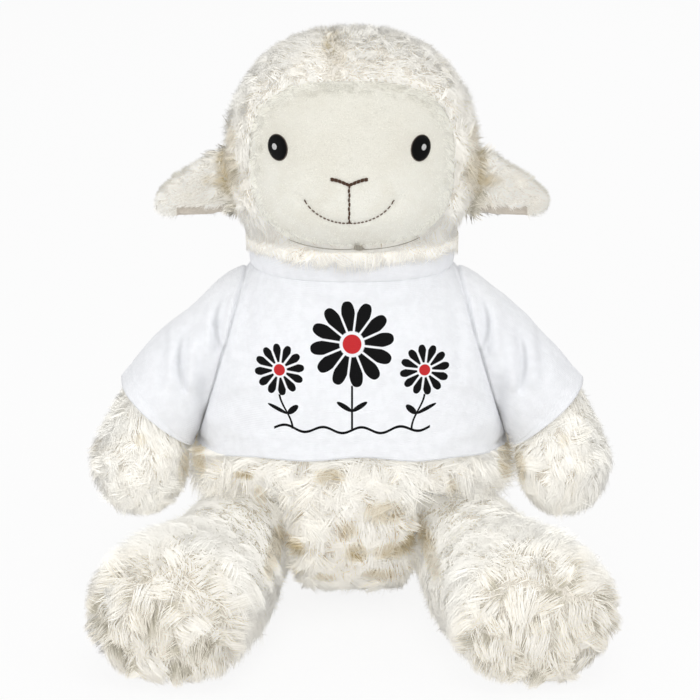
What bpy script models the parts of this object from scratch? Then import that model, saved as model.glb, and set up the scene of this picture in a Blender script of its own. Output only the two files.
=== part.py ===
"""A seated plush sheep in a plain short-sleeved shirt.

Metres, +Z up. The sheep sits on the plane z = 0 and looks along -Y, with its
left side towards +X. The origin lies on the flat of the seat, under the neck.
Every sewn cover is a thin shell, open where it is sewn to the next one, round
a separate body of stuffing. Head, arms, legs, ears and tail each turn about
the axis of an empty that lies on their seam.
"""

import math

import bmesh
import bpy
from mathutils import Matrix, Vector

# Fits and fabrics
SEAM_GAP = 0.0003
TURN_GAP = 0.0005
FLAT_DEPTH = 0.0005
CUT_OVERRUN = 0.03
PLUSH_WALL = 0.0018
FACE_WALL = 0.0014
JERSEY_WALL = 0.0011
COLLAR_WALL = 0.0016

# Torso: a bell with a flat seat
TORSO_HEIGHT = 0.1475
TORSO_HALF_WIDTH = 0.0615
TORSO_FRONT = 0.050
TORSO_BACK = 0.050
TORSO_POWER = 2.3
# Rows of height, half width, front and back, from the seat up
TORSO_ROW_SHARES = (
    (0.00, 0.76, 0.56, 0.78),
    (0.07, 0.92, 0.78, 0.92),
    (0.19, 0.99, 0.95, 1.00),
    (0.37, 1.00, 1.00, 1.00),
    (0.475, 0.985, 0.98, 0.97),
    (0.58, 0.965, 0.93, 0.91),
    (0.71, 0.90, 0.84, 0.82),
    (0.85, 0.79, 0.735, 0.70),
    (0.93, 0.665, 0.655, 0.61),
    (0.965, 0.60, 0.61, 0.56),
)

# Neck: the seam where the head is sewn on, and the axis that it turns about
NECK_EDGE = 0.0015
NECK_RIM = 0.0065
NECK_THREAD_RADIUS = 0.0005
_, THROAT_WIDTH_SHARE, THROAT_FRONT_SHARE, THROAT_BACK_SHARE = TORSO_ROW_SHARES[-1]
NECK_RADIUS = TORSO_BACK * THROAT_BACK_SHARE - NECK_EDGE
NECK_OPENING_RADIUS = NECK_RADIUS - NECK_RIM

# Head: a rounded box of plush with a short-pile face
HEAD_BASE_Z = TORSO_HEIGHT + TURN_GAP
HEAD_HEIGHT = 0.0865
HEAD_HALF_WIDTH = 0.0472
HEAD_FRONT = 0.0475
HEAD_BACK = 0.040
HEAD_POWER = 2.25
# Rows of height, half width, front and back, from the jaw up
HEAD_ROW_SHARES = (
    (0.125, 0.86, 0.87, 0.84),
    (0.208, 0.975, 1.00, 0.95),
    (0.370, 1.00, 0.995, 1.00),
    (0.543, 0.998, 0.94, 1.00),
    (0.671, 0.978, 0.875, 0.97),
    (0.775, 0.893, 0.775, 0.895),
    (0.855, 0.78, 0.655, 0.79),
    (0.936, 0.58, 0.46, 0.60),
    (0.983, 0.35, 0.27, 0.37),
)

# Face panel: a rounded window in the front of the head
FACE_WIDTH_SHARE = 0.837
FACE_BOTTOM_SHARE = 0.087
FACE_TOP_SHARE = 0.798
FACE_BACK_SHARE = 0.25
FACE_POWER = 2.8
FACE_HALF_WIDTH = HEAD_HALF_WIDTH * FACE_WIDTH_SHARE
FACE_BOTTOM_Z = HEAD_BASE_Z + HEAD_HEIGHT * FACE_BOTTOM_SHARE
FACE_TOP_Z = HEAD_BASE_Z + HEAD_HEIGHT * FACE_TOP_SHARE
FACE_BACK_Y = -HEAD_FRONT * FACE_BACK_SHARE

# Embroidered eyes, nose and mouth, placed by shares of the head
EYE_SIDE_SHARE = 0.5975
EYE_HEIGHT_SHARE = 0.549
NOSE_HEIGHT_SHARE = 0.402
MOUTH_HEIGHT_SHARE = 0.202
EYE_X = HEAD_HALF_WIDTH * EYE_SIDE_SHARE
EYE_Z = HEAD_BASE_Z + HEAD_HEIGHT * EYE_HEIGHT_SHARE
EYE_HALF_WIDTH = 0.0039
EYE_HALF_HEIGHT = 0.0052
EYE_TILT = math.radians(8)
EYE_LIFT = 0.0003
EYE_THICKNESS = 0.0009
HIGHLIGHT_X_OFFSET = -0.0004
HIGHLIGHT_Z_OFFSET = 0.0004
HIGHLIGHT_HALF_WIDTH = 0.0011
HIGHLIGHT_HALF_HEIGHT = 0.0015
HIGHLIGHT_THICKNESS = 0.0005
NOSE_HALF_WIDTH = 0.0072
NOSE_WING_RISE = 0.0025
NOSE_Z = HEAD_BASE_Z + HEAD_HEIGHT * NOSE_HEIGHT_SHARE
NOSE_THREAD_RADIUS = 0.0007
MOUTH_HALF_WIDTH = 0.0178
MOUTH_Z = HEAD_BASE_Z + HEAD_HEIGHT * MOUTH_HEIGHT_SHARE
MOUTH_CORNER_RISE = 0.0080
STEM_END_GAP = 0.0017
MOUTH_POWER = 2.2
MOUTH_THREAD_RADIUS = 0.0005
THREAD_LIFT = 0.0003
# An eye's inner loop, its raised rim and the narrowed end of a thread
EYE_CROWN_SHARE = 0.6
EYE_RIM_SHARE = 0.96
THREAD_END_SHARE = 0.7

# Ears: folded leaves, open below, sewn on along an upright line
EAR_ROOT_GAP = 0.0008
EAR_ROOT_Y = 0.001
EAR_LENGTH = 0.0300
EAR_TOP_SHARE = 0.4855
EAR_TOP_Z = HEAD_BASE_Z + HEAD_HEIGHT * EAR_TOP_SHARE
EAR_ROOT_HEIGHT = 0.0315
EAR_DEPTH = 0.0125
EAR_BACK_WALL = 0.0018
EAR_LINING_WALL = 0.0010
# How square the arch of an ear's section is, across and upwards
EAR_SIDE_POWER = 0.5
EAR_CROWN_POWER = 0.8
# Stations of length, top drop, height and depth, from the root out
EAR_STATION_SHARES = (
    (0.00, 0.04, 0.98, 0.40),
    (0.25, 0.16, 0.88, 0.72),
    (0.50, 0.31, 0.74, 0.94),
    (0.75, 0.46, 0.60, 1.00),
    (0.92, 0.60, 0.42, 0.82),
    (1.00, 0.71, 0.26, 0.55),
)

# Shirt: front, back, collar band and two sleeves
COLLAR_DROP = 0.0070
COLLAR_HEIGHT = 0.0125
COLLAR_SIDE_EASE = 0.0036
COLLAR_FRONT_EASE = 0.0065
COLLAR_BACK_EASE = 0.0055
COLLAR_FLARE = 0.0012
COLLAR_SEAM_Z = TORSO_HEIGHT - COLLAR_DROP
COLLAR_TOP_Z = COLLAR_SEAM_Z + COLLAR_HEIGHT
COLLAR_HALF_WIDTH = TORSO_HALF_WIDTH * THROAT_WIDTH_SHARE + COLLAR_SIDE_EASE
COLLAR_FRONT = TORSO_FRONT * THROAT_FRONT_SHARE + COLLAR_FRONT_EASE
COLLAR_BACK = TORSO_BACK * THROAT_BACK_SHARE + COLLAR_BACK_EASE
HEM_DROP = 0.0060
HEM_FRONT_RISE = 0.0075
SIDE_SEAM_Y = -0.001

# Shoulder seam: the slanted plane from the collar to the underarm
SHOULDER_EASE = 0.0010
SHOULDER_DROP = 0.0090
UNDERARM_EASE = 0.0012
ARMHOLE_HEIGHT = 0.0685
SHOULDER_TOP_X = COLLAR_HALF_WIDTH + SHOULDER_EASE
SHOULDER_TOP_Z = TORSO_HEIGHT - SHOULDER_DROP
UNDERARM_X = TORSO_HALF_WIDTH + UNDERARM_EASE
UNDERARM_Z = SHOULDER_TOP_Z - ARMHOLE_HEIGHT
HEM_SIDE_Z = UNDERARM_Z - HEM_DROP
ARMHOLE_HALF_DEPTH = 0.0235
SHOULDER_PIVOT_DROP = 0.0260
SHOULDER_Y = -0.002

# Sleeve and arm: upper points of upright sections out and down from the shoulder,
# lower points out and down from the underarm, and half depths
SLEEVE_MID_TOP_OUT = 0.0297
SLEEVE_MID_TOP_DROP = 0.0182
SLEEVE_MID_LOW_OUT = 0.0009
SLEEVE_MID_LOW_DROP = 0.0003
CUFF_TOP_OUT = 0.0515
CUFF_TOP_DROP = 0.0445
CUFF_LOW_OUT = 0.0019
CUFF_LOW_DROP = 0.0012
SLEEVE_MID_HALF_DEPTH = 0.0235
CUFF_HALF_DEPTH = 0.0210
SLEEVE_MID_Y = -0.005
CUFF_Y = -0.009
HAND_LENGTH = 0.0305
HAND_HALF_WIDTH = 0.0198
HAND_HALF_DEPTH = 0.0210
HAND_OUT = 0.0226
HAND_CENTRE_X = UNDERARM_X + HAND_OUT
HAND_Y = -0.014
# Sections of drop, sideways shift, half width and half depth, down the hand
HAND_SECTION_SHARES = (
    (0.16, 0.00, 1.00, 0.98),
    (0.42, 0.01, 0.985, 1.00),
    (0.68, 0.01, 0.84, 0.86),
    (0.88, 0.00, 0.55, 0.58),
)

# Legs: a round hip in a notch of the torso, a thigh and a plump foot
HIP_INSET = 0.0180
HIP_X = TORSO_HALF_WIDTH - HIP_INSET
HIP_Y = -0.004
HIP_RADIUS = 0.0260
HIP_HALF_WIDTH = 0.0213
HIP_SIDE_GAP = 0.0007
HIP_LIFT_ANGLE = math.radians(6)
HIP_DROP_ANGLE = math.radians(70)
LEG_SPLAY = math.radians(15.5)
LEG_LENGTH = 0.1190
FOOT_RADIUS = 0.0283
# Least height of a section's middle, and the size of the opening at the hip seam
SOLE_SHARE = 0.94
HIP_OPENING_SHARE = 0.33
# Back slices of the hip, as angles from its middle
HIP_SLICE_ANGLES = (65, 40, 15, 0)
# Sections of distance from the hip, half width and half height, to the toe
LEG_SECTION_SHARES = (
    (0.18, 0.80, 0.91),
    (0.38, 0.87, 0.88),
    (0.60, 1.02, 0.955),
    (0.76, 1.12, 1.00),
    (0.87, 1.05, 0.94),
    (0.95, 0.80, 0.72),
)

# Tail: a small stuffed drop, sewn on along a level line
TAIL_HEIGHT_SHARE = 0.3525
TAIL_Z = TORSO_HEIGHT * TAIL_HEIGHT_SHARE
TAIL_ROOT_GAP = 0.0018
TAIL_LENGTH = 0.0240
TAIL_HALF_WIDTH = 0.0085
TAIL_HALF_THICKNESS = 0.0052
TAIL_SLOPE = math.radians(42)
TAIL_WALL = 0.0013
# Sections of length, half width and half thickness, from the root out
TAIL_SECTION_SHARES = (
    (0.00, 0.62, 0.38),
    (0.30, 0.86, 0.80),
    (0.60, 1.00, 1.00),
    (0.86, 0.72, 0.74),
)

# Points round one section of each kind of piece; its stuffing has half as many
BODY_POINTS = 28
LIMB_POINTS = 20
TAIL_POINTS = 16
BAND_POINTS = 32
THREAD_POINTS = 6
EYE_POINTS = 16

# Colours as linear red, green and blue, with roughness
WOOL = ((0.83, 0.79, 0.71), 0.95)
FACE_PLUSH = ((0.86, 0.82, 0.74), 0.90)
EAR_PLUSH = ((0.74, 0.68, 0.60), 0.90)
FIBRE = ((0.92, 0.92, 0.92), 1.00)
JERSEY = ((0.91, 0.92, 0.95), 0.85)
BLACK_THREAD = ((0.012, 0.011, 0.011), 0.45)
WHITE_THREAD = ((0.90, 0.90, 0.90), 0.50)
NOSE_THREAD = ((0.10, 0.055, 0.035), 0.70)
MOUTH_THREAD = ((0.13, 0.09, 0.07), 0.75)
SEAM_THREAD = ((0.85, 0.82, 0.76), 0.80)

SIDES = (("left", 1), ("right", -1))


def clear_scene():
    for thing in list(bpy.data.objects):
        bpy.data.objects.remove(thing, do_unlink=True)


def fabric(name, look):
    """A plain material of one colour and roughness."""
    colour, roughness = look
    material = bpy.data.materials.new(name)
    material.use_nodes = True
    shader = material.node_tree.nodes["Principled BSDF"]
    shader.inputs["Base Color"].default_value = (*colour, 1)
    shader.inputs["Roughness"].default_value = roughness
    shader.inputs["Metallic"].default_value = 0
    return material


def finish(mesh, name, look):
    """Turn a bmesh into a smooth-shaded object with its own material."""
    bmesh.ops.recalc_face_normals(mesh, faces=mesh.faces)
    data = bpy.data.meshes.new(name)
    mesh.to_mesh(data)
    mesh.free()
    data.shade_smooth()
    data.set_sharp_from_angle(angle=math.radians(50))
    thing = bpy.data.objects.new(name, data)
    bpy.context.collection.objects.link(thing)
    if look:
        data.materials.append(fabric(name, look))
    else:
        thing.hide_render = True
        thing.display_type = "WIRE"
    return thing


def skin(name, loops, look=None, cyclic=False):
    """A closed surface over loops of points; a loop of one point is a pole."""
    mesh = bmesh.new()
    rings = [[mesh.verts.new(point) for point in loop] for loop in loops]
    pairs = list(zip(rings, rings[1:]))
    if cyclic:
        pairs.append((rings[-1], rings[0]))
    for near, far in pairs:
        count = max(len(near), len(far))
        for i in range(count):
            j = (i + 1) % count
            corners = [near[i % len(near)], near[j % len(near)]]
            corners += [far[j % len(far)], far[i % len(far)]]
            unique = list(dict.fromkeys(corners))
            mesh.faces.new(unique)
    if not cyclic:
        for end in (rings[0], rings[-1]):
            if len(end) > 1:
                mesh.faces.new(end)
    return finish(mesh, name, look)


def prism(name, outline, start, end, look=None):
    """A flat outline carried from one offset to another."""
    near = [point + start for point in outline]
    far = [point + end for point in outline]
    return skin(name, [near, far], look)


def carve(thing, cutter, operation="DIFFERENCE"):
    modifier = thing.modifiers.new(cutter.name, "BOOLEAN")
    modifier.operation = operation
    modifier.solver = "EXACT"
    modifier.object = cutter
    return thing


def rounded(angle, power):
    """A point of the unit superellipse at an angle."""
    c, s = math.cos(angle), math.sin(angle)
    x = math.copysign(abs(c) ** (2 / power), c)
    y = math.copysign(abs(s) ** (2 / power), s)
    return x, y


def level_loop(z, half_width, front, back, power, points):
    """A level section; -Y is the front."""
    loop = []
    for i in range(points):
        x, y = rounded(2 * math.pi * i / points, power)
        loop.append(Vector((half_width * x, (back if y > 0 else front) * y, z)))
    return loop


def circle_loop(z, radius, points):
    return level_loop(z, radius, radius, radius, 2, points)


def oval_loop(centre, across, along, points, power=2.0):
    """A section round a centre; across and along are its two half axes."""
    loop = []
    for i in range(points):
        a, b = rounded(2 * math.pi * i / points, power)
        loop.append(centre + across * a + along * b)
    return loop


def box_beyond(name, point, normal, size):
    """A block on the far side of a plane."""
    mesh = bmesh.new()
    turn = normal.to_track_quat("Z", "Y").to_matrix().to_4x4()
    place = Matrix.Translation(point + normal * size / 2) @ turn
    bmesh.ops.create_cube(mesh, size=size, matrix=place)
    return finish(mesh, name, None)


# Shoulder planes


def shoulder_frame(side):
    """Seam top, downward direction along the seam and outward normal."""
    top = Vector((side * SHOULDER_TOP_X, SHOULDER_Y, SHOULDER_TOP_Z))
    low = Vector((side * UNDERARM_X, SHOULDER_Y, UNDERARM_Z))
    down = (low - top).normalized()
    normal = Vector((side * abs(down.z), 0, abs(down.x)))
    return top, low, down, normal


def shoulder_pivot(side):
    top, _, down, _ = shoulder_frame(side)
    return top + down * SHOULDER_PIVOT_DROP


# Torso


def torso_loops(inset, points):
    """Sections of the bell, drawn in by an inset."""
    low = inset - FLAT_DEPTH
    span = TORSO_HEIGHT - inset - low
    loops = []
    for height, width, front, back in TORSO_ROW_SHARES:
        loops.append(
            level_loop(
                low + span * height,
                TORSO_HALF_WIDTH * width - inset,
                TORSO_FRONT * front - inset,
                TORSO_BACK * back - inset,
                TORSO_POWER,
                points,
            )
        )
    loops.append(circle_loop(TORSO_HEIGHT - inset, NECK_RADIUS - inset, points))
    return loops


def hip_point(side):
    return Vector((side * HIP_X, HIP_Y, HIP_RADIUS - FLAT_DEPTH))


def hip_notch(name, side, inset):
    """The room that a hip turns in: a drum, open to the front and below."""
    hip = hip_point(side)
    inner = side * (HIP_X - HIP_HALF_WIDTH - HIP_SIDE_GAP - inset)
    outer = side * (TORSO_HALF_WIDTH + CUT_OVERRUN)
    reach = HIP_RADIUS + TURN_GAP + inset
    far = TORSO_FRONT + CUT_OVERRUN
    start = math.pi / 2 - HIP_LIFT_ANGLE
    end = HIP_DROP_ANGLE - math.pi / 2
    steps = 16
    outline = []
    for i in range(steps + 1):
        angle = start + (end - start) * i / steps
        outline.append(hip + reach * Vector((0, math.cos(angle), math.sin(angle))))
    lifted = Vector((0, -math.cos(HIP_LIFT_ANGLE), math.sin(HIP_LIFT_ANGLE)))
    dropped = Vector((0, -math.cos(HIP_DROP_ANGLE), -math.sin(HIP_DROP_ANGLE)))
    outline.append(outline[-1] + dropped * far)
    outline.append(outline[0] + lifted * far + dropped * far)
    outline.append(outline[0] + lifted * far)
    start_x = Vector((inner - hip.x, 0, 0))
    end_x = Vector((outer - hip.x, 0, 0))
    return prism(name, outline, start_x, end_x)


def torso_solid(name, inset, look, points):
    """The bell with its flat seat, flat shoulders and hip notches."""
    body = skin(name, torso_loops(inset, points), look)
    for word, side in SIDES:
        top, _, _, normal = shoulder_frame(side)
        point = top - normal * (TURN_GAP / 2 + inset)
        carve(body, box_beyond(f"{name}_{word}_shoulder_cut", point, normal, TORSO_HEIGHT))
        carve(body, hip_notch(f"{name}_{word}_hip_cut", side, inset))
    floor = Vector((0, 0, inset))
    carve(body, box_beyond(name + "_floor_cut", floor, Vector((0, 0, -1)), TORSO_HEIGHT))
    return body


def make_torso():
    cover = torso_solid("torso_cover", 0, WOOL, BODY_POINTS)
    carve(cover, torso_solid("torso_hollow", PLUSH_WALL, None, BODY_POINTS))
    low = TORSO_HEIGHT - 2 * PLUSH_WALL
    high = TORSO_HEIGHT + PLUSH_WALL
    loops = [circle_loop(z, NECK_OPENING_RADIUS, TAIL_POINTS) for z in (low, high)]
    carve(cover, skin("torso_neck_opening", loops))
    fill = torso_solid("torso_stuffing", PLUSH_WALL + SEAM_GAP, FIBRE, BODY_POINTS // 2)
    return [cover, fill]


def make_neck_thread():
    """The thread ring that sews the head on."""
    mid = TORSO_HEIGHT + TURN_GAP / 2
    ring_radius = NECK_RADIUS + 2 * NECK_THREAD_RADIUS
    loops = []
    for i in range(THREAD_POINTS):
        angle = 2 * math.pi * i / THREAD_POINTS
        r = ring_radius + NECK_THREAD_RADIUS * math.cos(angle)
        loops.append(circle_loop(mid + NECK_THREAD_RADIUS * math.sin(angle), r, BAND_POINTS))
    return skin("neck_seam_thread", loops, SEAM_THREAD, cyclic=True)


# Head


def head_rows(inset):
    """Height, half width, front and back of each section of the head."""
    low = HEAD_BASE_Z + inset
    span = HEAD_HEIGHT - 2 * inset
    narrowest = min(COLLAR_HALF_WIDTH, COLLAR_FRONT, COLLAR_BACK)
    throat = narrowest - COLLAR_WALL - 2 * TURN_GAP - inset
    neck = NECK_RADIUS - inset
    throat_z = max(COLLAR_TOP_Z + TURN_GAP, low + TURN_GAP)
    rows = [(low, neck, neck, neck, 2.0), (throat_z, throat, throat, throat, 2.0)]
    for height, width, front, back in HEAD_ROW_SHARES:
        rows.append(
            (
                low + span * height,
                HEAD_HALF_WIDTH * width - inset,
                HEAD_FRONT * front - inset,
                HEAD_BACK * back - inset,
                HEAD_POWER,
            )
        )
    return rows


def head_solid(name, inset, look, points):
    rows = head_rows(inset)
    loops = [level_loop(z, w, f, b, p, points) for z, w, f, b, p in rows]
    loops.append([Vector((0, 0, HEAD_BASE_Z + HEAD_HEIGHT - inset))])
    return skin(name, loops, look)


def face_window(name, grow):
    """A prism through the front of the head, with the face panel's outline."""
    centre = Vector((0, 0, (FACE_TOP_Z + FACE_BOTTOM_Z) / 2))
    across = Vector((FACE_HALF_WIDTH + grow, 0, 0))
    along = Vector((0, 0, (FACE_TOP_Z - FACE_BOTTOM_Z) / 2 + grow))
    outline = oval_loop(centre, across, along, BAND_POINTS, FACE_POWER)
    front = Vector((0, -HEAD_FRONT - CUT_OVERRUN, 0))
    return prism(name, outline, front, Vector((0, FACE_BACK_Y, 0)))


def face_y(x, z):
    """Where the face lies at x and z."""
    rows = head_rows(0)
    for low, high in zip(rows, rows[1:]):
        if low[0] <= z <= high[0]:
            share = (z - low[0]) / (high[0] - low[0])
            width = low[1] + (high[1] - low[1]) * share
            front = low[2] + (high[2] - low[2]) * share
    return -front * (1 - abs(x / width) ** HEAD_POWER) ** (1 / HEAD_POWER)


def face_normal(x, z):
    """The outward direction of the face at x and z."""
    step = EYE_HALF_WIDTH / 4
    slope_x = (face_y(x + step, z) - face_y(x - step, z)) / (2 * step)
    slope_z = (face_y(x, z + step) - face_y(x, z - step)) / (2 * step)
    return Vector((slope_x, -1, slope_z)).normalized()


def on_face(x, z, lift):
    return Vector((x, face_y(x, z), z)) + face_normal(x, z) * lift


def make_head():
    cover = head_solid("head_cover", 0, WOOL, BODY_POINTS)
    carve(cover, head_solid("head_hollow", PLUSH_WALL, None, BODY_POINTS))
    low = HEAD_BASE_Z - PLUSH_WALL
    high = HEAD_BASE_Z + 2 * PLUSH_WALL
    loops = [circle_loop(z, NECK_OPENING_RADIUS, TAIL_POINTS) for z in (low, high)]
    carve(cover, skin("head_neck_opening", loops))
    carve(cover, face_window("head_face_cut", SEAM_GAP))
    panel = head_solid("face_panel", 0, FACE_PLUSH, BODY_POINTS)
    carve(panel, head_solid("face_hollow", FACE_WALL, None, BODY_POINTS))
    carve(panel, face_window("face_outline", 0), "INTERSECT")
    fill = head_solid("head_stuffing", PLUSH_WALL + SEAM_GAP, FIBRE, BODY_POINTS // 2)
    return [cover, panel, fill]


def patch(name, x, z, half_width, half_height, tilt, lift, thickness, look):
    """A domed oval of thread that follows the face."""
    cos, sin = math.cos(tilt), math.sin(tilt)

    def loop(share, height):
        points = []
        for i in range(EYE_POINTS):
            a, b = rounded(2 * math.pi * i / EYE_POINTS, 2.0)
            across, along = half_width * share * a, half_height * share * b
            px = x + across * cos - along * sin
            pz = z + across * sin + along * cos
            points.append(on_face(px, pz, height))
        return points

    top = lift + thickness
    loops = [[on_face(x, z, lift)], loop(EYE_CROWN_SHARE, lift), loop(1, lift)]
    loops.append(loop(EYE_RIM_SHARE, lift + thickness / 2))
    loops += [loop(EYE_CROWN_SHARE, top), [on_face(x, z, top)]]
    return skin(name, loops, look)


def thread(name, places, radius, look):
    """A round thread laid on the face through places of x and z."""
    lift = THREAD_LIFT + radius
    points = [on_face(x, z, lift) for x, z in places]
    first = (points[1] - points[0]).normalized()
    last = (points[-1] - points[-2]).normalized()
    loops = [[points[0] - first * radius / 2]]
    for i, point in enumerate(points):
        ahead = points[min(i + 1, len(points) - 1)] - points[max(i - 1, 0)]
        normal = face_normal(*places[i])
        side = ahead.cross(normal).normalized()
        up = side.cross(ahead).normalized()
        size = radius if 0 < i < len(points) - 1 else radius * THREAD_END_SHARE
        loops.append(oval_loop(point, side * size, up * size, THREAD_POINTS))
    loops.append([points[-1] + last * radius / 2])
    return skin(name, loops, look)


def make_face_stitches():
    """Eyes, highlights, nose and mouth."""
    made = []
    for word, side in SIDES:
        tilt = side * EYE_TILT
        made.append(
            patch(
                f"{word}_eye",
                side * EYE_X,
                EYE_Z,
                EYE_HALF_WIDTH,
                EYE_HALF_HEIGHT,
                tilt,
                EYE_LIFT,
                EYE_THICKNESS,
                BLACK_THREAD,
            )
        )
        made.append(
            patch(
                f"{word}_eye_highlight",
                side * EYE_X + HIGHLIGHT_X_OFFSET,
                EYE_Z + HIGHLIGHT_Z_OFFSET,
                HIGHLIGHT_HALF_WIDTH,
                HIGHLIGHT_HALF_HEIGHT,
                tilt,
                EYE_LIFT + EYE_THICKNESS + SEAM_GAP,
                HIGHLIGHT_THICKNESS,
                WHITE_THREAD,
            )
        )
    steps = 8
    wings = []
    for i in range(steps + 1):
        share = 2 * i / steps - 1
        wings.append((NOSE_HALF_WIDTH * share, NOSE_Z + NOSE_WING_RISE * abs(share)))
    nose = thread("nose_stitching", wings, NOSE_THREAD_RADIUS, NOSE_THREAD)
    stem = []
    stem_end = MOUTH_Z + STEM_END_GAP
    for i in range(steps + 1):
        stem.append((0, NOSE_Z + (stem_end - NOSE_Z) * i / steps))
    carve(nose, thread("nose_stem", stem, NOSE_THREAD_RADIUS, None), "UNION")
    made.append(nose)
    smile = []
    for i in range(2 * steps + 1):
        share = i / steps - 1
        rise = MOUTH_CORNER_RISE * abs(share) ** MOUTH_POWER
        smile.append((MOUTH_HALF_WIDTH * share, MOUTH_Z + rise))
    made.append(thread("mouth_stitching", smile, MOUTH_THREAD_RADIUS, MOUTH_THREAD))
    return made


# Ears


def ear_profile(x, top, height, depth, inset, wall):
    """One arch-shaped section of a leaf: down the outside and up the inside."""
    steps = 8
    outer, inner = [], []
    for i in range(steps + 1):
        angle = math.pi * i / steps
        across, rise = math.cos(angle), math.sin(angle)
        for side, shift in ((outer, inset), (inner, inset + wall)):
            half = depth / 2 - shift
            crown = height - shift
            y = EAR_ROOT_Y + half * math.copysign(abs(across) ** EAR_SIDE_POWER, across)
            side.append(Vector((x, y, top - height + crown * rise**EAR_CROWN_POWER)))
    return outer + inner[::-1]


def ear_root_x():
    """How far out the ear starts, clear of the widest part of the head."""
    return HEAD_HALF_WIDTH + EAR_ROOT_GAP


def make_ear(word, side):
    made = []
    layers = (
        ("back", 0, EAR_BACK_WALL, WOOL),
        ("lining", EAR_BACK_WALL + TURN_GAP, EAR_LINING_WALL, EAR_PLUSH),
    )
    for layer, inset, wall, look in layers:
        stations = EAR_STATION_SHARES if layer == "back" else EAR_STATION_SHARES[1:-1]
        loops = []
        for length, drop, height, depth in stations:
            x = side * (ear_root_x() + EAR_LENGTH * length)
            top = EAR_TOP_Z - EAR_ROOT_HEIGHT * drop
            high = EAR_ROOT_HEIGHT * height
            loops.append(ear_profile(x, top, high, EAR_DEPTH * depth, inset, wall))
        made.append(skin(f"{word}_ear_{layer}", loops, look))
    return made


# Arms and sleeves


def section(top, low, y, half_depth, inset, points):
    """An upright section between an upper and a lower point."""
    middle = Vector(((top[0] + low[0]) / 2, y, (top[1] + low[1]) / 2))
    half = Vector((top[0] - low[0], 0, top[1] - low[1])) / 2
    across = half.normalized() * (half.length - inset)
    return oval_loop(middle, across, Vector((0, half_depth - inset, 0)), points)


def sleeve_loops(side, inset, points):
    """Sections from the shoulder seam to the cuff."""
    top, low, _, normal = shoulder_frame(side)
    out = normal * TURN_GAP / 2
    seam_top, seam_low = top + out, low + out
    return [
        section(
            (seam_top.x, seam_top.z),
            (seam_low.x, seam_low.z),
            SHOULDER_Y,
            ARMHOLE_HALF_DEPTH,
            inset,
            points,
        ),
        section(
            (top.x + side * SLEEVE_MID_TOP_OUT, top.z - SLEEVE_MID_TOP_DROP),
            (low.x + side * SLEEVE_MID_LOW_OUT, low.z - SLEEVE_MID_LOW_DROP),
            SLEEVE_MID_Y,
            SLEEVE_MID_HALF_DEPTH,
            inset,
            points,
        ),
        section(
            (top.x + side * CUFF_TOP_OUT, top.z - CUFF_TOP_DROP),
            (low.x + side * CUFF_LOW_OUT, low.z - CUFF_LOW_DROP),
            CUFF_Y,
            CUFF_HALF_DEPTH,
            inset,
            points,
        ),
    ]


def make_sleeve(word, side):
    outer = sleeve_loops(side, 0, LIMB_POINTS)
    inner = sleeve_loops(side, JERSEY_WALL, LIMB_POINTS)
    return skin(f"{word}_sleeve", outer + inner[::-1], JERSEY, cyclic=True)


def hand_loops(side, inset, points):
    """Sections of the hand below the cuff, and its tip."""
    loops = []
    for drop, shift, width, depth in HAND_SECTION_SHARES:
        x = side * (HAND_CENTRE_X + HAND_HALF_WIDTH * shift)
        middle = Vector((x, HAND_Y, UNDERARM_Z - HAND_LENGTH * drop))
        across = Vector((side * (HAND_HALF_WIDTH * width - inset), 0, 0))
        along = Vector((0, HAND_HALF_DEPTH * depth - inset, 0))
        loops.append(oval_loop(middle, across, along, points))
    tip = UNDERARM_Z - HAND_LENGTH + inset
    loops.append([Vector((side * HAND_CENTRE_X, HAND_Y, tip))])
    return loops


def arm_loops(side, inset, points):
    clear = JERSEY_WALL + TURN_GAP
    return sleeve_loops(side, clear + inset, points) + hand_loops(side, inset, points)


def make_arm(word, side):
    outer = arm_loops(side, 0, LIMB_POINTS)
    inner = arm_loops(side, PLUSH_WALL, LIMB_POINTS)
    cover = skin(f"{word}_arm_cover", outer[::-1] + inner, WOOL)
    loops = arm_loops(side, PLUSH_WALL + SEAM_GAP, LIMB_POINTS // 2)
    fill = skin(f"{word}_arm_stuffing", loops, FIBRE)
    return [cover, fill]


# Legs


def leg_direction(side):
    return Vector((side * math.sin(LEG_SPLAY), -math.cos(LEG_SPLAY), 0))


def hip_loops(side, inset, points):
    """The back half of the hip: level slices of a ball that is narrow along X."""
    hip = hip_point(side)
    ahead = leg_direction(side)
    half, radius = HIP_HALF_WIDTH - inset, HIP_RADIUS - inset
    reach = math.hypot(half * ahead.x, radius * ahead.y)
    lean = Vector((half**2 * ahead.x, radius**2 * ahead.y, 0)) / reach**2
    across = ahead.cross(Vector((0, 0, 1))) * (half * radius / reach)
    loops = [[hip - lean * reach]]
    for angle in HIP_SLICE_ANGLES:
        back = math.sin(math.radians(angle))
        size = math.cos(math.radians(angle))
        centre = hip - lean * reach * back
        loops.append(
            oval_loop(centre, across * size, Vector((0, 0, radius * size)), points)
        )
    return loops


def leg_loops(side, inset, points):
    """Sections from the hip to the toe."""
    ahead = leg_direction(side)
    hip = hip_point(side)
    across = ahead.cross(Vector((0, 0, 1)))
    loops = hip_loops(side, inset, points)
    for distance, width, height in LEG_SECTION_SHARES:
        centre = hip + ahead * LEG_LENGTH * distance
        centre.z = FOOT_RADIUS * max(height, SOLE_SHARE) - FLAT_DEPTH
        half = across * (FOOT_RADIUS * width - inset)
        loops.append(
            oval_loop(centre, half, Vector((0, 0, FOOT_RADIUS * height - inset)), points)
        )
    toe = hip + ahead * (LEG_LENGTH - inset)
    toe.z = FOOT_RADIUS * SOLE_SHARE - FLAT_DEPTH
    loops.append([toe])
    return loops


def leg_solid(name, side, inset, look, points):
    body = skin(name, leg_loops(side, inset, points), look)
    floor = Vector((0, 0, inset))
    carve(body, box_beyond(name + "_floor_cut", floor, Vector((0, 0, -1)), LEG_LENGTH * 3))
    return body


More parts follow.
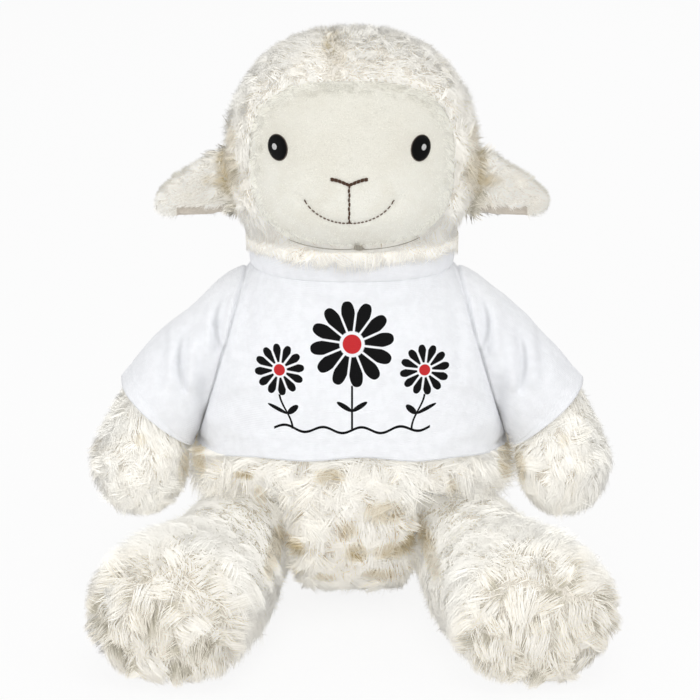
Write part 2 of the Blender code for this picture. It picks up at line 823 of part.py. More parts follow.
def make_leg(word, side):
    cover = leg_solid(f"{word}_leg_cover", side, 0, WOOL, LIMB_POINTS)
    carve(cover, leg_solid(f"{word}_leg_hollow", side, PLUSH_WALL, None, LIMB_POINTS))
    hip = hip_point(side)
    back = hip + Vector((0, HIP_RADIUS, 0))
    loops = []
    size = HIP_RADIUS * HIP_OPENING_SHARE
    for shift in (-4 * PLUSH_WALL, 2 * PLUSH_WALL):
        place = back + Vector((0, shift, 0))
        loops.append(
            oval_loop(place, Vector((size, 0, 0)), Vector((0, 0, size)), TAIL_POINTS)
        )
    carve(cover, skin(f"{word}_leg_opening", loops))
    inset = PLUSH_WALL + SEAM_GAP
    fill = leg_solid(f"{word}_leg_stuffing", side, inset, FIBRE, LIMB_POINTS // 2)
    return [cover, fill]


# Tail


def tail_root():
    return Vector((0, TORSO_BACK + TAIL_ROOT_GAP, TAIL_Z))


def tail_loops(inset, points):
    along = Vector((0, math.cos(TAIL_SLOPE), -math.sin(TAIL_SLOPE)))
    over = Vector((0, math.sin(TAIL_SLOPE), math.cos(TAIL_SLOPE)))
    loops = []
    for length, width, thickness in TAIL_SECTION_SHARES:
        half_width = TAIL_HALF_WIDTH * width - inset
        half_thick = max(TAIL_HALF_THICKNESS * thickness - inset, SEAM_GAP)
        centre = tail_root() + along * TAIL_LENGTH * length
        loops.append(
            oval_loop(centre, Vector((half_width, 0, 0)), over * half_thick, points)
        )
    loops.append([tail_root() + along * (TAIL_LENGTH - inset)])
    return loops


def make_tail():
    outer = tail_loops(0, TAIL_POINTS)
    inner = tail_loops(TAIL_WALL, TAIL_POINTS)
    cover = skin("tail_cover", outer[::-1] + inner, WOOL)
    fill = skin("tail_stuffing", tail_loops(TAIL_WALL + SEAM_GAP, TAIL_POINTS // 2), FIBRE)
    return [cover, fill]


# Shirt


def shirt_outer(name, grow, look):
    return skin(name, torso_loops(-grow, BODY_POINTS), look)


def hem_block(name):
    """Everything below the curved hem, which rises at front and back."""
    steps = 12
    reach = TORSO_FRONT + CUT_OVERRUN
    outline = [Vector((0, reach, -CUT_OVERRUN)), Vector((0, -reach, -CUT_OVERRUN))]
    for i in range(steps + 1):
        y = reach * (2 * i / steps - 1)
        rise = HEM_FRONT_RISE * (y / TORSO_FRONT) ** 2
        outline.append(Vector((0, y, HEM_SIDE_Z + rise)))
    wide = Vector((TORSO_HALF_WIDTH + CUT_OVERRUN, 0, 0))
    return prism(name, outline, -wide, wide)


def make_shirt_panel(word, front):
    """Half of the shirt's body, between the side seams."""
    name = f"shirt_{word}_panel"
    panel = shirt_outer(name, SEAM_GAP + JERSEY_WALL, JERSEY)
    carve(panel, shirt_outer(name + "_hollow", SEAM_GAP, None))
    carve(panel, hem_block(name + "_hem_cut"))
    collar = Vector((0, 0, COLLAR_SEAM_Z - SEAM_GAP))
    carve(panel, box_beyond(name + "_collar_cut", collar, Vector((0, 0, 1)), TORSO_HEIGHT))
    for side_word, side in SIDES:
        top, _, _, normal = shoulder_frame(side)
        point = top - normal * TURN_GAP / 2
        label = f"{name}_{side_word}_armhole_cut"
        carve(panel, box_beyond(label, point, normal, TORSO_HEIGHT))
    away = Vector((0, 1 if front else -1, 0))
    seam = Vector((0, SIDE_SEAM_Y, TORSO_HEIGHT / 2)) - away * SEAM_GAP / 2
    carve(panel, box_beyond(name + "_side_cut", seam, away, TORSO_HEIGHT * 2))
    return panel


def make_collar():
    """The folded band that stands up round the neck."""
    loops = []
    for inset, heights in ((0, (0, 1)), (COLLAR_WALL, (1, 0))):
        for high in heights:
            z = COLLAR_TOP_Z if high else COLLAR_SEAM_Z
            flare = 0 if high else COLLAR_FLARE
            size = flare - inset
            loops.append(
                level_loop(
                    z,
                    COLLAR_HALF_WIDTH + size,
                    COLLAR_FRONT + size,
                    COLLAR_BACK + size,
                    TORSO_POWER,
                    BAND_POINTS,
                )
            )
    return skin("collar_band", loops, JERSEY, cyclic=True)


# Joints


def hang_on(name, place, axis, pieces):
    """An empty on a joint's axis, with the pieces that turn about it."""
    empty = bpy.data.objects.new(name, None)
    empty.empty_display_size = NECK_RADIUS
    empty.rotation_mode = "QUATERNION"
    empty.rotation_quaternion = axis.to_track_quat("Z", "Y")
    empty.location = place
    bpy.context.collection.objects.link(empty)
    bpy.context.view_layer.update()
    for piece in pieces:
        piece.parent = empty
        piece.matrix_parent_inverse = empty.matrix_world.inverted()
    return empty


def build():
    clear_scene()
    make_torso()
    make_neck_thread()
    head = make_head() + make_face_stitches()
    neck = Vector((0, 0, HEAD_BASE_Z))
    neck_axis = hang_on("neck_turn", neck, Vector((0, 0, 1)), head)
    for word, side in SIDES:
        root = Vector((side * ear_root_x(), EAR_ROOT_Y, EAR_TOP_Z - EAR_ROOT_HEIGHT / 2))
        ear_axis = hang_on(
            f"{word}_ear_swing", root, Vector((0, 0, 1)), make_ear(word, side)
        )
        ear_axis.parent = neck_axis
        ear_axis.matrix_parent_inverse = neck_axis.matrix_world.inverted()
        _, _, _, normal = shoulder_frame(side)
        arm = make_arm(word, side) + [make_sleeve(word, side)]
        hang_on(f"{word}_shoulder_swing", shoulder_pivot(side), normal, arm)
        leg = make_leg(word, side)
        hang_on(f"{word}_hip_swing", hip_point(side), Vector((1, 0, 0)), leg)
    hang_on("tail_lift", tail_root(), Vector((1, 0, 0)), make_tail())
    make_shirt_panel("front", True)
    make_shirt_panel("back", False)
    make_collar()


build()
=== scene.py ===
"""A seated plush sheep in a short-sleeved jersey shirt, dressed over its CAD frame.

Metres, +Z up, the sheep looks along -Y. Every stuffed piece starts from the
stuffing of its CAD solid, is puffed out with cloth pressure and then grows its
pile as real tapered strands, drawn together into locks.
"""

import math
from collections import namedtuple

import bpy
import numpy as np
from bpy.props import FloatProperty, FloatVectorProperty, PointerProperty
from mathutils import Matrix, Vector


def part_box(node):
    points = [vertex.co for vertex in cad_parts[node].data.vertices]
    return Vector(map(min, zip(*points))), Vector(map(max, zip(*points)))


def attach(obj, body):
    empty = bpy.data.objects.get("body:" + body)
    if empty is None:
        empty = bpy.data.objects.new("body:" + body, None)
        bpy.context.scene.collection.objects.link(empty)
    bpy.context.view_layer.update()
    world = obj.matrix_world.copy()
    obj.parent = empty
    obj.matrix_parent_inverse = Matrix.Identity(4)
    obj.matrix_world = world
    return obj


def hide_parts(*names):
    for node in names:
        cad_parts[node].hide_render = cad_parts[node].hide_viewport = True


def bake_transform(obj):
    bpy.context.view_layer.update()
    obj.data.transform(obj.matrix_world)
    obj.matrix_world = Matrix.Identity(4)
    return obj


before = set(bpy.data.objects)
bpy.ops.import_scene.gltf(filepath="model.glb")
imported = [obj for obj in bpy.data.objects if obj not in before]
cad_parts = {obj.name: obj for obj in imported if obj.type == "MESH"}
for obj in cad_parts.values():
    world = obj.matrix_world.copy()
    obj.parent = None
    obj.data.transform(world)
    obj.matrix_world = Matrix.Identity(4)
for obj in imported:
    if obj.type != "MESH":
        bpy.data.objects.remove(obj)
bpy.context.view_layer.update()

bl_info = {
    "name": "Plush Sheep",
    "version": (1, 0, 0),
    "blender": (4, 5, 0),
    "location": "3D View > Sidebar > Plush Sheep",
    "description": "Builds a seated plush sheep with curly pile and a jersey shirt",
    "category": "Object",
}

SIDES = (("left", 1), ("right", -1))

# Head: height, half width, front and back of its rows
HEAD_POWER = 2.25
HEAD_ROWS = np.array((
    (0.1480, 0.0265, 0.0265, 0.0265),
    (0.1535, 0.0360, 0.0385, 0.0310),
    (0.1588, 0.0412, 0.0436, 0.0336),
    (0.1660, 0.0460, 0.0475, 0.0380),
    (0.1800, 0.0472, 0.0473, 0.0400),
    (0.1950, 0.0471, 0.0447, 0.0400),
    (0.2060, 0.0462, 0.0416, 0.0388),
    (0.2150, 0.0422, 0.0368, 0.0358),
    (0.2220, 0.0368, 0.0311, 0.0316),
    (0.2290, 0.0274, 0.0219, 0.0240),
    (0.2345, 0.0080, 0.0060, 0.0080),
))

# Face: the window of smooth plush in the front of the head
FACE_MIDDLE_Z = 0.1868
FACE_HALF_WIDTH = 0.0402
FACE_HALF_HEIGHT = 0.0323
FACE_POWER = 2.7
FACE_WALL = 0.0014
FACE_TUCK = 0.0014
FACE_OVERLAP = 1.03
FAR_OUTSIDE = 9.0
MUZZLE_Z = 0.1730
FACE_SHIFT = -0.0011
EYE_X, EYE_Z = 0.0275, 0.1942
EYE_HALF_WIDTH, EYE_HALF_HEIGHT = 0.0036, 0.0048
EYE_TILT = math.radians(8)
EYE_RIM = 0.0003
NOSE_Z, NOSE_HALF_WIDTH, NOSE_RISE = 0.1815, 0.0072, 0.0022
STEM_END_Z = 0.1664
NOSE_STITCHES, STEM_STITCHES, SMILE_STITCHES = 5, 9, 24
THREAD_LIFT = 0.0002
MOUTH_Z, MOUTH_HALF_WIDTH, MOUTH_RISE = 0.1667, 0.0174, 0.0093
CHIN_SEAM_LIFT = 0.0012
# painted shade: the jaw's and chin's wool is a darker copy of the pile, by this share
JAW_SHADE_LEVEL = 0.76
PARTING_X = -0.0072

# Shirt: height, half width, front and back of its rows
SHIRT_POWER = 2.3
SHIRT_ROWS = np.array((
    (0.0600, 0.0640, 0.0532, 0.0512),
    (0.0700, 0.0636, 0.0524, 0.0505),
    (0.0855, 0.0613, 0.0490, 0.0482),
    (0.1047, 0.0575, 0.0446, 0.0432),
    (0.1254, 0.0512, 0.0398, 0.0378),
    (0.1360, 0.0448, 0.0374, 0.0346),
    (0.1405, 0.0405, 0.0366, 0.0335),
))
HEM_SIDE_Z, HEM_FRONT_RISE = 0.0662, 0.0060
HEM_HALF_WIDTH = SHIRT_ROWS[1, 1]
CLOTH_WALL = 0.0010
SHIRT_TOP_Z = 0.1416
SHOULDER_TOP = (0.0415, 0.1396)
UNDERARM = (0.0627, 0.0700)
SHOULDER_Y = -0.002
ARMHOLE_HALF_DEPTH = 0.0235
# Sleeve stations: upper point, lower point, middle y and half depth
SLEEVE_STATIONS = np.array((
    (0.0415, 0.1396, 0.0627, 0.0700, -0.0020, 0.0235),
    (0.0703, 0.1188, 0.0636, 0.0697, -0.0050, 0.0238),
    (0.0938, 0.0946, 0.0640, 0.0680, -0.0090, 0.0222),
))
SLEEVE_START = -0.02
# Folds on each half of a panel: start, end, width and height of each ridge or crease
PANEL_FOLDS = (
    ((0.050, 0.124), (0.046, 0.100), 0.0042, 0.0013),
    ((0.041, 0.128), (0.043, 0.104), 0.0026, -0.0009),
    ((0.058, 0.083), (0.036, 0.078), 0.0035, 0.0010),
    ((0.056, 0.088), (0.040, 0.096), 0.0030, -0.0008),
)
# Folds of a sleeve, in the same order
SLEEVE_FOLDS = (
    ((0.0500, 0.1300), (0.0540, 0.1205), 0.0016, -0.0020),
    ((0.0540, 0.1205), (0.0533, 0.1110), 0.0016, -0.0020),
    ((0.0482, 0.1280), (0.0503, 0.1130), 0.0020, 0.0022),
    ((0.0575, 0.1250), (0.0582, 0.1110), 0.0026, 0.0020),
    ((0.0664, 0.1165), (0.0688, 0.1060), 0.0016, -0.0016),
    ((0.0688, 0.1060), (0.0668, 0.0950), 0.0016, -0.0016),
    ((0.0635, 0.1130), (0.0638, 0.0970), 0.0026, 0.0022),
    ((0.0728, 0.1150), (0.0722, 0.0980), 0.0028, 0.0020),
    ((0.0760, 0.1130), (0.0765, 0.1020), 0.0028, -0.0010),
    ((0.0580, 0.0980), (0.0600, 0.0780), 0.0026, -0.0010),
    ((0.0870, 0.0990), (0.0760, 0.0830), 0.0030, -0.0010),
)
# Painted shade in a sleeve's creases: x, bow, height, half height, width and depth
SLEEVE_CREASE_SHADES = ((0.0542, -0.0036, 0.1200, 0.0115, 0.0016, 0.42),
                  (0.0690, -0.0026, 0.1055, 0.0120, 0.0016, 0.38),
                  (0.0600, 0.0010, 0.0880, 0.0180, 0.0040, 0.20),
                  (0.0738, 0.0, 0.1120, 0.0100, 0.0024, 0.10))
# painted shade: the grey that the creases are drawn in
CREASE_SHADE_GREY = (0.42, 0.43, 0.45)
COLLAR_TOP_Z = 0.1526
COLLAR_HALF_WIDTH, COLLAR_FRONT, COLLAR_BACK = 0.0405, 0.0370, 0.0335
COLLAR_WALL = 0.0017
COLLAR_CLEARANCE = 0.0022

# Limbs: the places that their pile flows from
HIP = (0.0435, -0.004, 0.0255)
LEG_SPLAY = math.radians(15.5)
LEG_LENGTH = 0.119
EAR_ROOT = (0.048, 0.001, 0.1743)
BELLY_LIFT = 0.0090

# Painted tan shade deep between the locks and where parts meet: x, height, half width, half height
# and depth
BELLY_SHADE_PATCHES = ((-0.0255, 0.0334, 0.0062, 0.0046, 1.00), (0.0250, 0.0334, 0.0062, 0.0046, 1.00),
                (0.0165, 0.0328, 0.0080, 0.0036, 0.60), (0.0020, 0.0325, 0.0046, 0.0042, 0.62),
                (-0.0088, 0.0650, 0.0060, 0.0034, 0.60), (0.0127, 0.0497, 0.0080, 0.0052, 0.46),
                (0.0108, 0.0212, 0.0070, 0.0032, 0.55), (-0.0108, 0.0195, 0.0042, 0.0026, 0.60),
                (-0.0010, 0.0427, 0.0040, 0.0036, 0.45), (-0.0225, 0.0200, 0.0036, 0.0026, 0.42),
                (-0.0431, 0.0622, 0.0040, 0.0018, 0.80), (-0.0365, 0.0530, 0.0026, 0.0060, 0.55),
                (-0.0620, 0.0640, 0.0034, 0.0060, 0.80), (0.0620, 0.0640, 0.0034, 0.0060, 0.80),
                (0.0400, 0.0560, 0.0028, 0.0056, 0.50))
LEG_SHADE_PATCHES = ((0.0300, 0.0330, 0.0042, 0.0044, 0.90),)
ARM_SHADE_PATCHES = ((0.0668, 0.0590, 0.0032, 0.0080, 0.70), (0.0845, 0.0740, 0.0026, 0.0030, 0.40))
HEAD_SHADE_PATCHES = ((0.0486, 0.1935, 0.0028, 0.0050, 0.38), (0.0490, 0.1805, 0.0040, 0.0085, 0.42))
PARTING_SHADE_PATCHES = ((-0.0075, 0.2340, 0.0020, 0.0040, 0.30),
                  (-0.0092, 0.2305, 0.0026, 0.0030, 0.40), (-0.0055, 0.2266, 0.0034, 0.0020, 0.30))
EAR_SHADE_PATCHES = ((0.0492, 0.1790, 0.0046, 0.0095, 0.62), (0.0548, 0.1745, 0.0052, 0.0026, 0.55))

# Print on the chest: daisies of x, height and radius over a wavy line
DAISIES = ((0.0, 0.1170, 0.0165), (-0.0285, 0.1065, 0.0098), (0.0285, 0.1065, 0.0098))
PETALS, PETAL_GAP = 12, 0.00032
STEM_HALF_WIDTH = 0.00035
LEAF_HALF_LENGTH, LEAF_HALF_WIDTH = 0.0030, 0.0011
LINE_WAVE, LINE_RISE = 0.0150, 0.0011
GROUND_Z, GROUND_HALF_WIDTH, GROUND_HALF_THICKNESS = 0.0842, 0.0305, 0.00045

# Jersey: spacing of its columns and rows of loops
WALE, COURSE = 0.00085, 0.0007

# Stuffing: the cloth's pressure and how many frames it takes
STUFFING_PRESSURE = 4.0
STUFFING_FRAMES = 20

# Pile: the ground under it, how deep roots sink, and how strands differ from each other
WOVEN_LIGHT, WOVEN_DARK = (0.90, 0.86, 0.78), (0.84, 0.79, 0.70)
STRAND_SINK = 0.0008
STRAND_TAPER = (1.0, 0.95, 0.7)
LENGTH_SPREAD, WIDTH_SPREAD = (0.72, 1.18), (0.75, 1.2)
LIFT_SPREAD, STEEPEST = (0.65, 1.3), 0.95
LOCK_SPREAD, FEWEST_LOCKS = (0.85, 1.12), 12
STRAND_SWIRL, BEND_SPREAD = 0.22, (0.6, 1.3)
MIDDLE_TONE, LOCK_MOTTLE, STRAND_MOTTLE = 0.55, 0.10, 0.13
# painted light: the strength at which every strand glows with its own colour
PAINTED_FIBRE_GLOW = 0.27
NAP_SOFTNESS = 0.92
PIECE_TRIANGLES = 190000
FLOOR_GAP, FLOOR_SPREAD, LOWEST = 0.0005, 0.0008, 0.0001

# Stage: where each lamp hangs
LAMPS = {"key": (-0.45, -2.2, 0.90), "fill_left": (1.7, -1.1, 0.8), "fill_right": (-1.9, -0.7, 0.6),
         "fill_back": (0.2, 1.8, 1.4), "fill_top": (0.1, -0.9, 2.1)}
SENSOR_WIDTH, PHOTO_SIZE, CAMERA_X = 36, 700, -0.0008
LAMP_AIM, LAMP_SIZE = (0, 0, 0.1), 1.4
FLOOR_SIZE = 14


# Selecting and shaping


def take(thing):
    """Select one object alone and make it the active one."""
    bpy.ops.object.select_all(action="DESELECT")
    thing.select_set(True)
    bpy.context.view_layer.objects.active = thing
    return thing


def put_in_scene(name, mesh):
    thing = bpy.data.objects.new(name, mesh)
    bpy.context.collection.objects.link(thing)
    return take(thing)


def places(thing):
    co = np.empty(len(thing.data.vertices) * 3, np.float32)
    thing.data.vertices.foreach_get("co", co)
    return co.reshape(-1, 3).astype(float)


def normals(thing):
    found = np.empty(len(thing.data.vertices) * 3, np.float32)
    thing.data.vertices.foreach_get("normal", found)
    return found.reshape(-1, 3).astype(float)


def move_to(thing, co):
    thing.data.vertices.foreach_set("co", np.ascontiguousarray(co, np.float32).ravel())
    thing.data.update()


def add_modifier(thing, kind, **values):
    """Add a modifier, set it and apply it."""
    take(thing)
    modifier = thing.modifiers.new(kind.title(), kind)
    for key, value in values.items():
        setattr(modifier, key, value)
    bpy.ops.object.modifier_apply(modifier=modifier.name)


def edit_whole(operator, **values):
    """Run an edit-mode operator on all of the active piece."""
    bpy.ops.object.mode_set(mode="EDIT")
    bpy.ops.mesh.select_all(action="SELECT")
    operator(**values)
    bpy.ops.object.mode_set(mode="OBJECT")


def merged_copy(node, name):
    """A new piece with the faces of a CAD node, joined at their corners."""
    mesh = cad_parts[node].data.copy()
    mesh.materials.clear()
    thing = put_in_scene(name, mesh)
    edit_whole(bpy.ops.mesh.remove_doubles, threshold=1e-5)
    return thing


def swollen(thing):
    """Points of a form after its cover is blown up as cloth."""
    take(thing)
    scene = bpy.context.scene
    cloth = thing.modifiers.new("Stuffing", "CLOTH")
    cloth.settings.quality = 5
    cloth.settings.mass = 0.2
    cloth.settings.use_pressure = True
    cloth.settings.uniform_pressure_force = STUFFING_PRESSURE
    cloth.settings.effector_weights.gravity = 0
    cloth.point_cache.frame_start, cloth.point_cache.frame_end = 1, STUFFING_FRAMES
    for number in range(1, STUFFING_FRAMES + 1):
        scene.frame_set(number)
    found = places(thing.evaluated_get(bpy.context.evaluated_depsgraph_get()))
    thing.modifiers.remove(cloth)
    scene.frame_set(1)
    return found


def puff(thing, voxel, cap, grow):
    """Fill a form with stuffing: cloth pressure held back to a cap, then growth along normals."""
    add_modifier(thing, "REMESH", mode="VOXEL", voxel_size=voxel)
    if cap:
        start = places(thing)
        step = swollen(thing) - start
        size = np.linalg.norm(step, axis=1, keepdims=True)
        move_to(thing, start + step * np.minimum(1, cap / np.maximum(size, 1e-9)))
    add_modifier(thing, "SMOOTH", factor=0.5, iterations=6)
    add_modifier(thing, "SUBSURF", levels=1, render_levels=1)
    co, out = places(thing), normals(thing)
    reach = grow(co) if callable(grow) else np.full(len(co), grow)
    co += out * reach[:, None]
    co[:, 2] = np.maximum(co[:, 2], FLOOR_GAP * 2)
    move_to(thing, co)
    thing.data.shade_smooth()
    return thing


def eased(rows, heights, blur=9):
    """The sizes of a form at any height, with no corner at its rows."""
    dense = np.linspace(rows[0, 0], rows[-1, 0], 241)
    kernel = np.exp(-0.5 * (np.arange(-3 * blur, 3 * blur + 1) / blur) ** 2)
    kernel /= kernel.sum()
    found = []
    for column in rows.T[1:]:
        values = np.interp(dense, rows[:, 0], column)
        padded = np.concatenate((
            2 * values[0] - values[3 * blur:0:-1],
            values,
            2 * values[-1] - values[-2:-3 * blur - 2:-1],
        ))
        found.append(np.interp(heights, dense, np.convolve(padded, kernel, "valid")))
    return found


def smooth_step(values, low, high):
    t = np.clip((values - low) / (high - low), 0, 1)
    return t * t * (3 - 2 * t)


def unit(vectors):
    size = np.linalg.norm(vectors, axis=-1, keepdims=True)
    return vectors / np.maximum(size, 1e-12)


def vectors(x, y, z):
    """Points or directions from their columns, where a single number holds for all."""
    return np.stack(np.broadcast_arrays(x, y, z), -1)


def rounded(wave, power):
    """A sine or cosine, drawn out towards the corners of a box."""
    return np.sign(wave) * np.abs(wave) ** (2 / power)


def hump(values, middle, width):
    """1 at the middle, falling off softly."""
    return np.exp(-(((values - middle) / width) ** 2))


def spot(x, z, middle_x, middle_z, half_width, half_height):
    """1 in the middle of an oval, falling off softly."""
    return np.exp(-(((x - middle_x) / half_width) ** 2) - ((z - middle_z) / half_height) ** 2)


def bump_line(x, z, start, end, width, height):
    """A soft ridge, or a crease where its height is negative, from start to end."""
    a, b = np.array(start), np.array(end)
    along = b - a
    t = ((x - a[0]) * along[0] + (z - a[1]) * along[1]) / (along @ along)
    nearest = np.clip(t, 0, 1)
    gap = np.hypot(x - a[0] - nearest * along[0], z - a[1] - nearest * along[1])
    return height * hump(gap, 0, width)


def grid_faces(rows, columns, wrap=False):
    """Faces of a grid of points, row by row."""
    faces = []
    last = columns if wrap else columns - 1
    for i in range(rows - 1):
        for j in range(last):
            k = (j + 1) % columns
            faces.append((i * columns + j, i * columns + k,
                          (i + 1) * columns + k, (i + 1) * columns + j))
    return faces


def piece_of(name, co, faces):
    mesh = bpy.data.meshes.new(name)
    mesh.from_pydata(co.tolist(), [], faces)
    return put_in_scene(name, mesh)


def sheet_of(name, co, faces, wall, outwards):
    """A thin closed piece over a grid, its given side facing outwards."""
    thing = piece_of(name, co, faces)
    if (normals(thing) * outwards).sum() < 0:
        thing.data.flip_normals()
    add_modifier(thing, "SOLIDIFY", thickness=wall, offset=-1.0, use_even_offset=False)
    thing.data.shade_smooth()
    return thing


# Materials


class Number:
    """A number that a node gives, so that shader sums read as sums."""

    def __init__(self, finish, socket):
        self.finish, self.socket = finish, socket

    def sum(self, operation, *others):
        return self.finish.number("ShaderNodeMath", {"operation": operation},
                                  dict(enumerate((self, *others))))

    def __add__(self, other):
        return self.sum("ADD", other)

    def __sub__(self, other):
        return self.sum("SUBTRACT", other)

    def __mul__(self, other):
        return self.sum("MULTIPLY", other)

    def __pow__(self, other):
        return self.sum("POWER", other)

    def __abs__(self):
        return self.sum("ABSOLUTE")

    def __rsub__(self, other):
        return (self * -1.0) + other

    __radd__ = __add__
    __rmul__ = __mul__


class Finish:
    """A material in the making, with its shader and its places on the piece."""

    def __init__(self, name, roughness, **constants):
        self.material = bpy.data.materials.new(name)
        self.material.use_nodes = True
        self.tree = self.material.node_tree
        self.shader = self.tree.nodes["Principled BSDF"]
        self.shader.inputs["Roughness"].default_value = roughness
        for key, value in constants.items():
            self.shader.inputs[key.replace("_", " ")].default_value = value

    def node(self, kind, settings=None, inputs=None):
        """A node with its settings made first, then its sockets filled."""
        node = self.tree.nodes.new(kind)
        for key, value in (settings or {}).items():
            setattr(node, key, value)
        for key, value in (inputs or {}).items():
            self.feed(node.inputs[key], value)
        return node

    def number(self, kind, settings=None, inputs=None):
        return Number(self, self.node(kind, settings, inputs).outputs[0])

    def feed(self, socket, value):
        if isinstance(value, Number):
            value = value.socket
        if isinstance(value, bpy.types.NodeSocket):
            self.tree.links.new(value, socket)
        elif socket.type == "RGBA":
            socket.default_value = (*value[:3], 1)
        else:
            socket.default_value = value

    def place(self, turn=(0, 0, 0)):
        """The point on the object, turned."""
        found = self.node("ShaderNodeTexCoord").outputs["Object"]
        if any(turn):
            found = self.node("ShaderNodeMapping", None, {"Vector": found, "Rotation": turn})
            found = found.outputs[0]
        return found

    def axes(self, vector):
        split = self.node("ShaderNodeSeparateXYZ", None, {0: vector})
        return [Number(self, output) for output in split.outputs]

    def noise(self, vector, scale, detail=3.0, roughness=0.5):
        inputs = {"Vector": vector, "Scale": scale, "Detail": detail, "Roughness": roughness}
        return self.number("ShaderNodeTexNoise", None, inputs)

    def ease(self, value, low, high, start=0.0, end=1.0):
        settings = {"interpolation_type": "SMOOTHSTEP"}
        inputs = {0: value, 1: low, 2: high, 3: start, 4: end}
        return self.number("ShaderNodeMapRange", settings, inputs)

    def blend_colours(self, share, first, second):
        """The first colour where the share is 0, and the second where it is 1."""
        node = self.node("ShaderNodeMix", {"data_type": "RGBA"}, {0: share, 6: first, 7: second})
        return node.outputs[2]

    def colour(self, value):
        self.feed(self.shader.inputs["Base Color"], value)

    def relief(self, height, distance, strength=1.0):
        bump = self.node("ShaderNodeBump", None,
                         {"Height": height, "Distance": distance, "Strength": strength})
        self.feed(self.shader.inputs["Normal"], bump.outputs[0])

    def dress(self, thing):
        thing.data.materials.clear()
        thing.data.materials.append(self.material)


def with_painted_shade(finish, colour, tone, along, shade_patches, shade_tan):
    """The colour with painted tan shade deep between a front's locks and where parts meet; pale
    strands cross it.
    """
    x, y, z = finish.axes(finish.place())
    rough = finish.noise(finish.place(), 650.0) * 1.2 - 0.6
    cover = None
    for centre_x, centre_z, half_width, half_height, depth in shade_patches:
        across = (x - centre_x) * (1 / half_width)
        up = (z - centre_z) * (1 / half_height)
        patch = finish.ease(across * across + up * up + rough, 0.0, 1.8, depth, 0.0)
        cover = patch if cover is None else cover.sum("MAXIMUM", patch)
    front = finish.ease(y, 0.0, 0.008, 1.0, 0.0)
    deep = finish.ease(tone, 0.45, 0.85, 1.0, 0.45) * finish.ease(along, 0.30, 1.0, 1.0, 0.65)
    return finish.blend_colours(cover * front * deep, colour, shade_tan)


def pile_finish(name, tip, root, shade, gap, shade_patches=(), shade_tan=None):
    """Strands: shaded at the root, pale at the tip, tinted lock by lock, tan in the gaps."""
    finish = Finish(name, 0.85, Sheen_Weight=0.25, Sheen_Roughness=0.5, Specular_IOR_Level=0.2)
    uv = finish.node("ShaderNodeUVMap", {"uv_map": "OFBake"}).outputs[0]
    tone, along, _ = finish.axes(uv)
    pale = finish.blend_colours(finish.ease(tone, 0.12, 0.75), shade, tip)
    light = finish.ease(tone, 0.05, 0.45)
    ground = finish.blend_colours(light, gap, root)
    # where the tone is low the dark ground reaches further up the strand
    reach = along - (1.0 - light) * 0.5
    colour = finish.blend_colours(finish.ease(reach, -0.05, 0.40), ground, pale)
    # painted shade: tan patches on the front, deep between the locks and where parts meet
    if shade_patches:
        colour = with_painted_shade(finish, colour, tone, along, shade_patches, shade_tan)
    finish.colour(colour)
    # painted light: the strands glow with their own colour, in place of the light that real fibres
    # hand on to each other past the bounces of a render
    finish.feed(finish.shader.inputs["Emission Color"], colour)
    finish.shader.inputs["Emission Strength"].default_value = PAINTED_FIBRE_GLOW
    return finish


def backing_finish(name, light=WOVEN_LIGHT, dark=WOVEN_DARK):
    """The woven ground under the pile."""
    finish = Finish(name, 0.95, Specular_IOR_Level=0.2)
    place = finish.place()
    patches = finish.ease(finish.noise(place, 90.0), 0.35, 0.65)
    finish.colour(finish.blend_colours(patches, dark, light))
    finish.relief(finish.noise(place, 900.0), 0.0012)
    return finish


def face_finish(name, light, dark):
    """Short-pile plush: a fine nap with soft brushed patches, lighter where its relief is raised
    and darker between, part mottling and part painted shade.
    """
    finish = Finish(name, 0.82, Sheen_Weight=0.35, Sheen_Roughness=0.45, Specular_IOR_Level=0.25)
    place = finish.place()
    nap = finish.noise(place, 1500.0, 4.0, 0.6)
    brushed = finish.noise(place, 70.0, 4.0, 0.6)
    # part mottling, part painted shade: the colour follows the relief of the nap
    raised_nap = finish.ease(brushed * 0.7 + nap * 0.3, 0.32, 0.66)
    colour = finish.blend_colours(raised_nap, dark, light)
    forehead = finish.ease(finish.axes(place)[2], 0.174, 0.198, 0.0, 0.6)
    finish.colour(finish.blend_colours(forehead, colour, dark))
    finish.relief(nap * 0.55 + brushed * 0.45, 0.0009, 0.8)
    return finish


def jersey_finish(name, colour, turn=0.0, crease_shades=()):
    """Fine knit: columns of small loops, with a faint slub and painted shade greying its creases.
    """
    finish = Finish(name, 0.72, Sheen_Weight=0.2, Specular_IOR_Level=0.3)
    x, _, z = finish.axes(finish.place((0, turn, 0)))
    wales = (x * (2 * math.pi / WALE)).sum("SINE")
    courses = (z * (2 * math.pi / COURSE)).sum("SINE")
    slub = finish.noise(finish.place(), 260.0, 3.0, 0.6)
    loops = abs(wales) * 0.6 + courses * 0.2 + slub * 0.9
    dark = [0.955 * c for c in colour]
    cloth = finish.blend_colours(finish.ease(slub, 0.35, 0.65), dark, colour)
    x, y, z = finish.axes(finish.place())
    front = finish.ease(y, -0.010, -0.004, 1.0, 0.0)
    # painted shade: grey lines along each crease on the sleeve's front
    for crease_x, bow, crease_z, half_height, width, depth in crease_shades:
        share = (z - crease_z) * (1 / half_height)
        gap = abs(abs(x) - (share * share * bow + crease_x))
        line = finish.ease(gap, 0.0, width, depth, 0.0)
        line = line * finish.ease(abs(share), 0.3, 1.0, 1.0, 0.0)
        cloth = finish.blend_colours(line * front, cloth, CREASE_SHADE_GREY)
    finish.colour(cloth)
    finish.relief(loops, 0.00022, 0.6)
    return finish


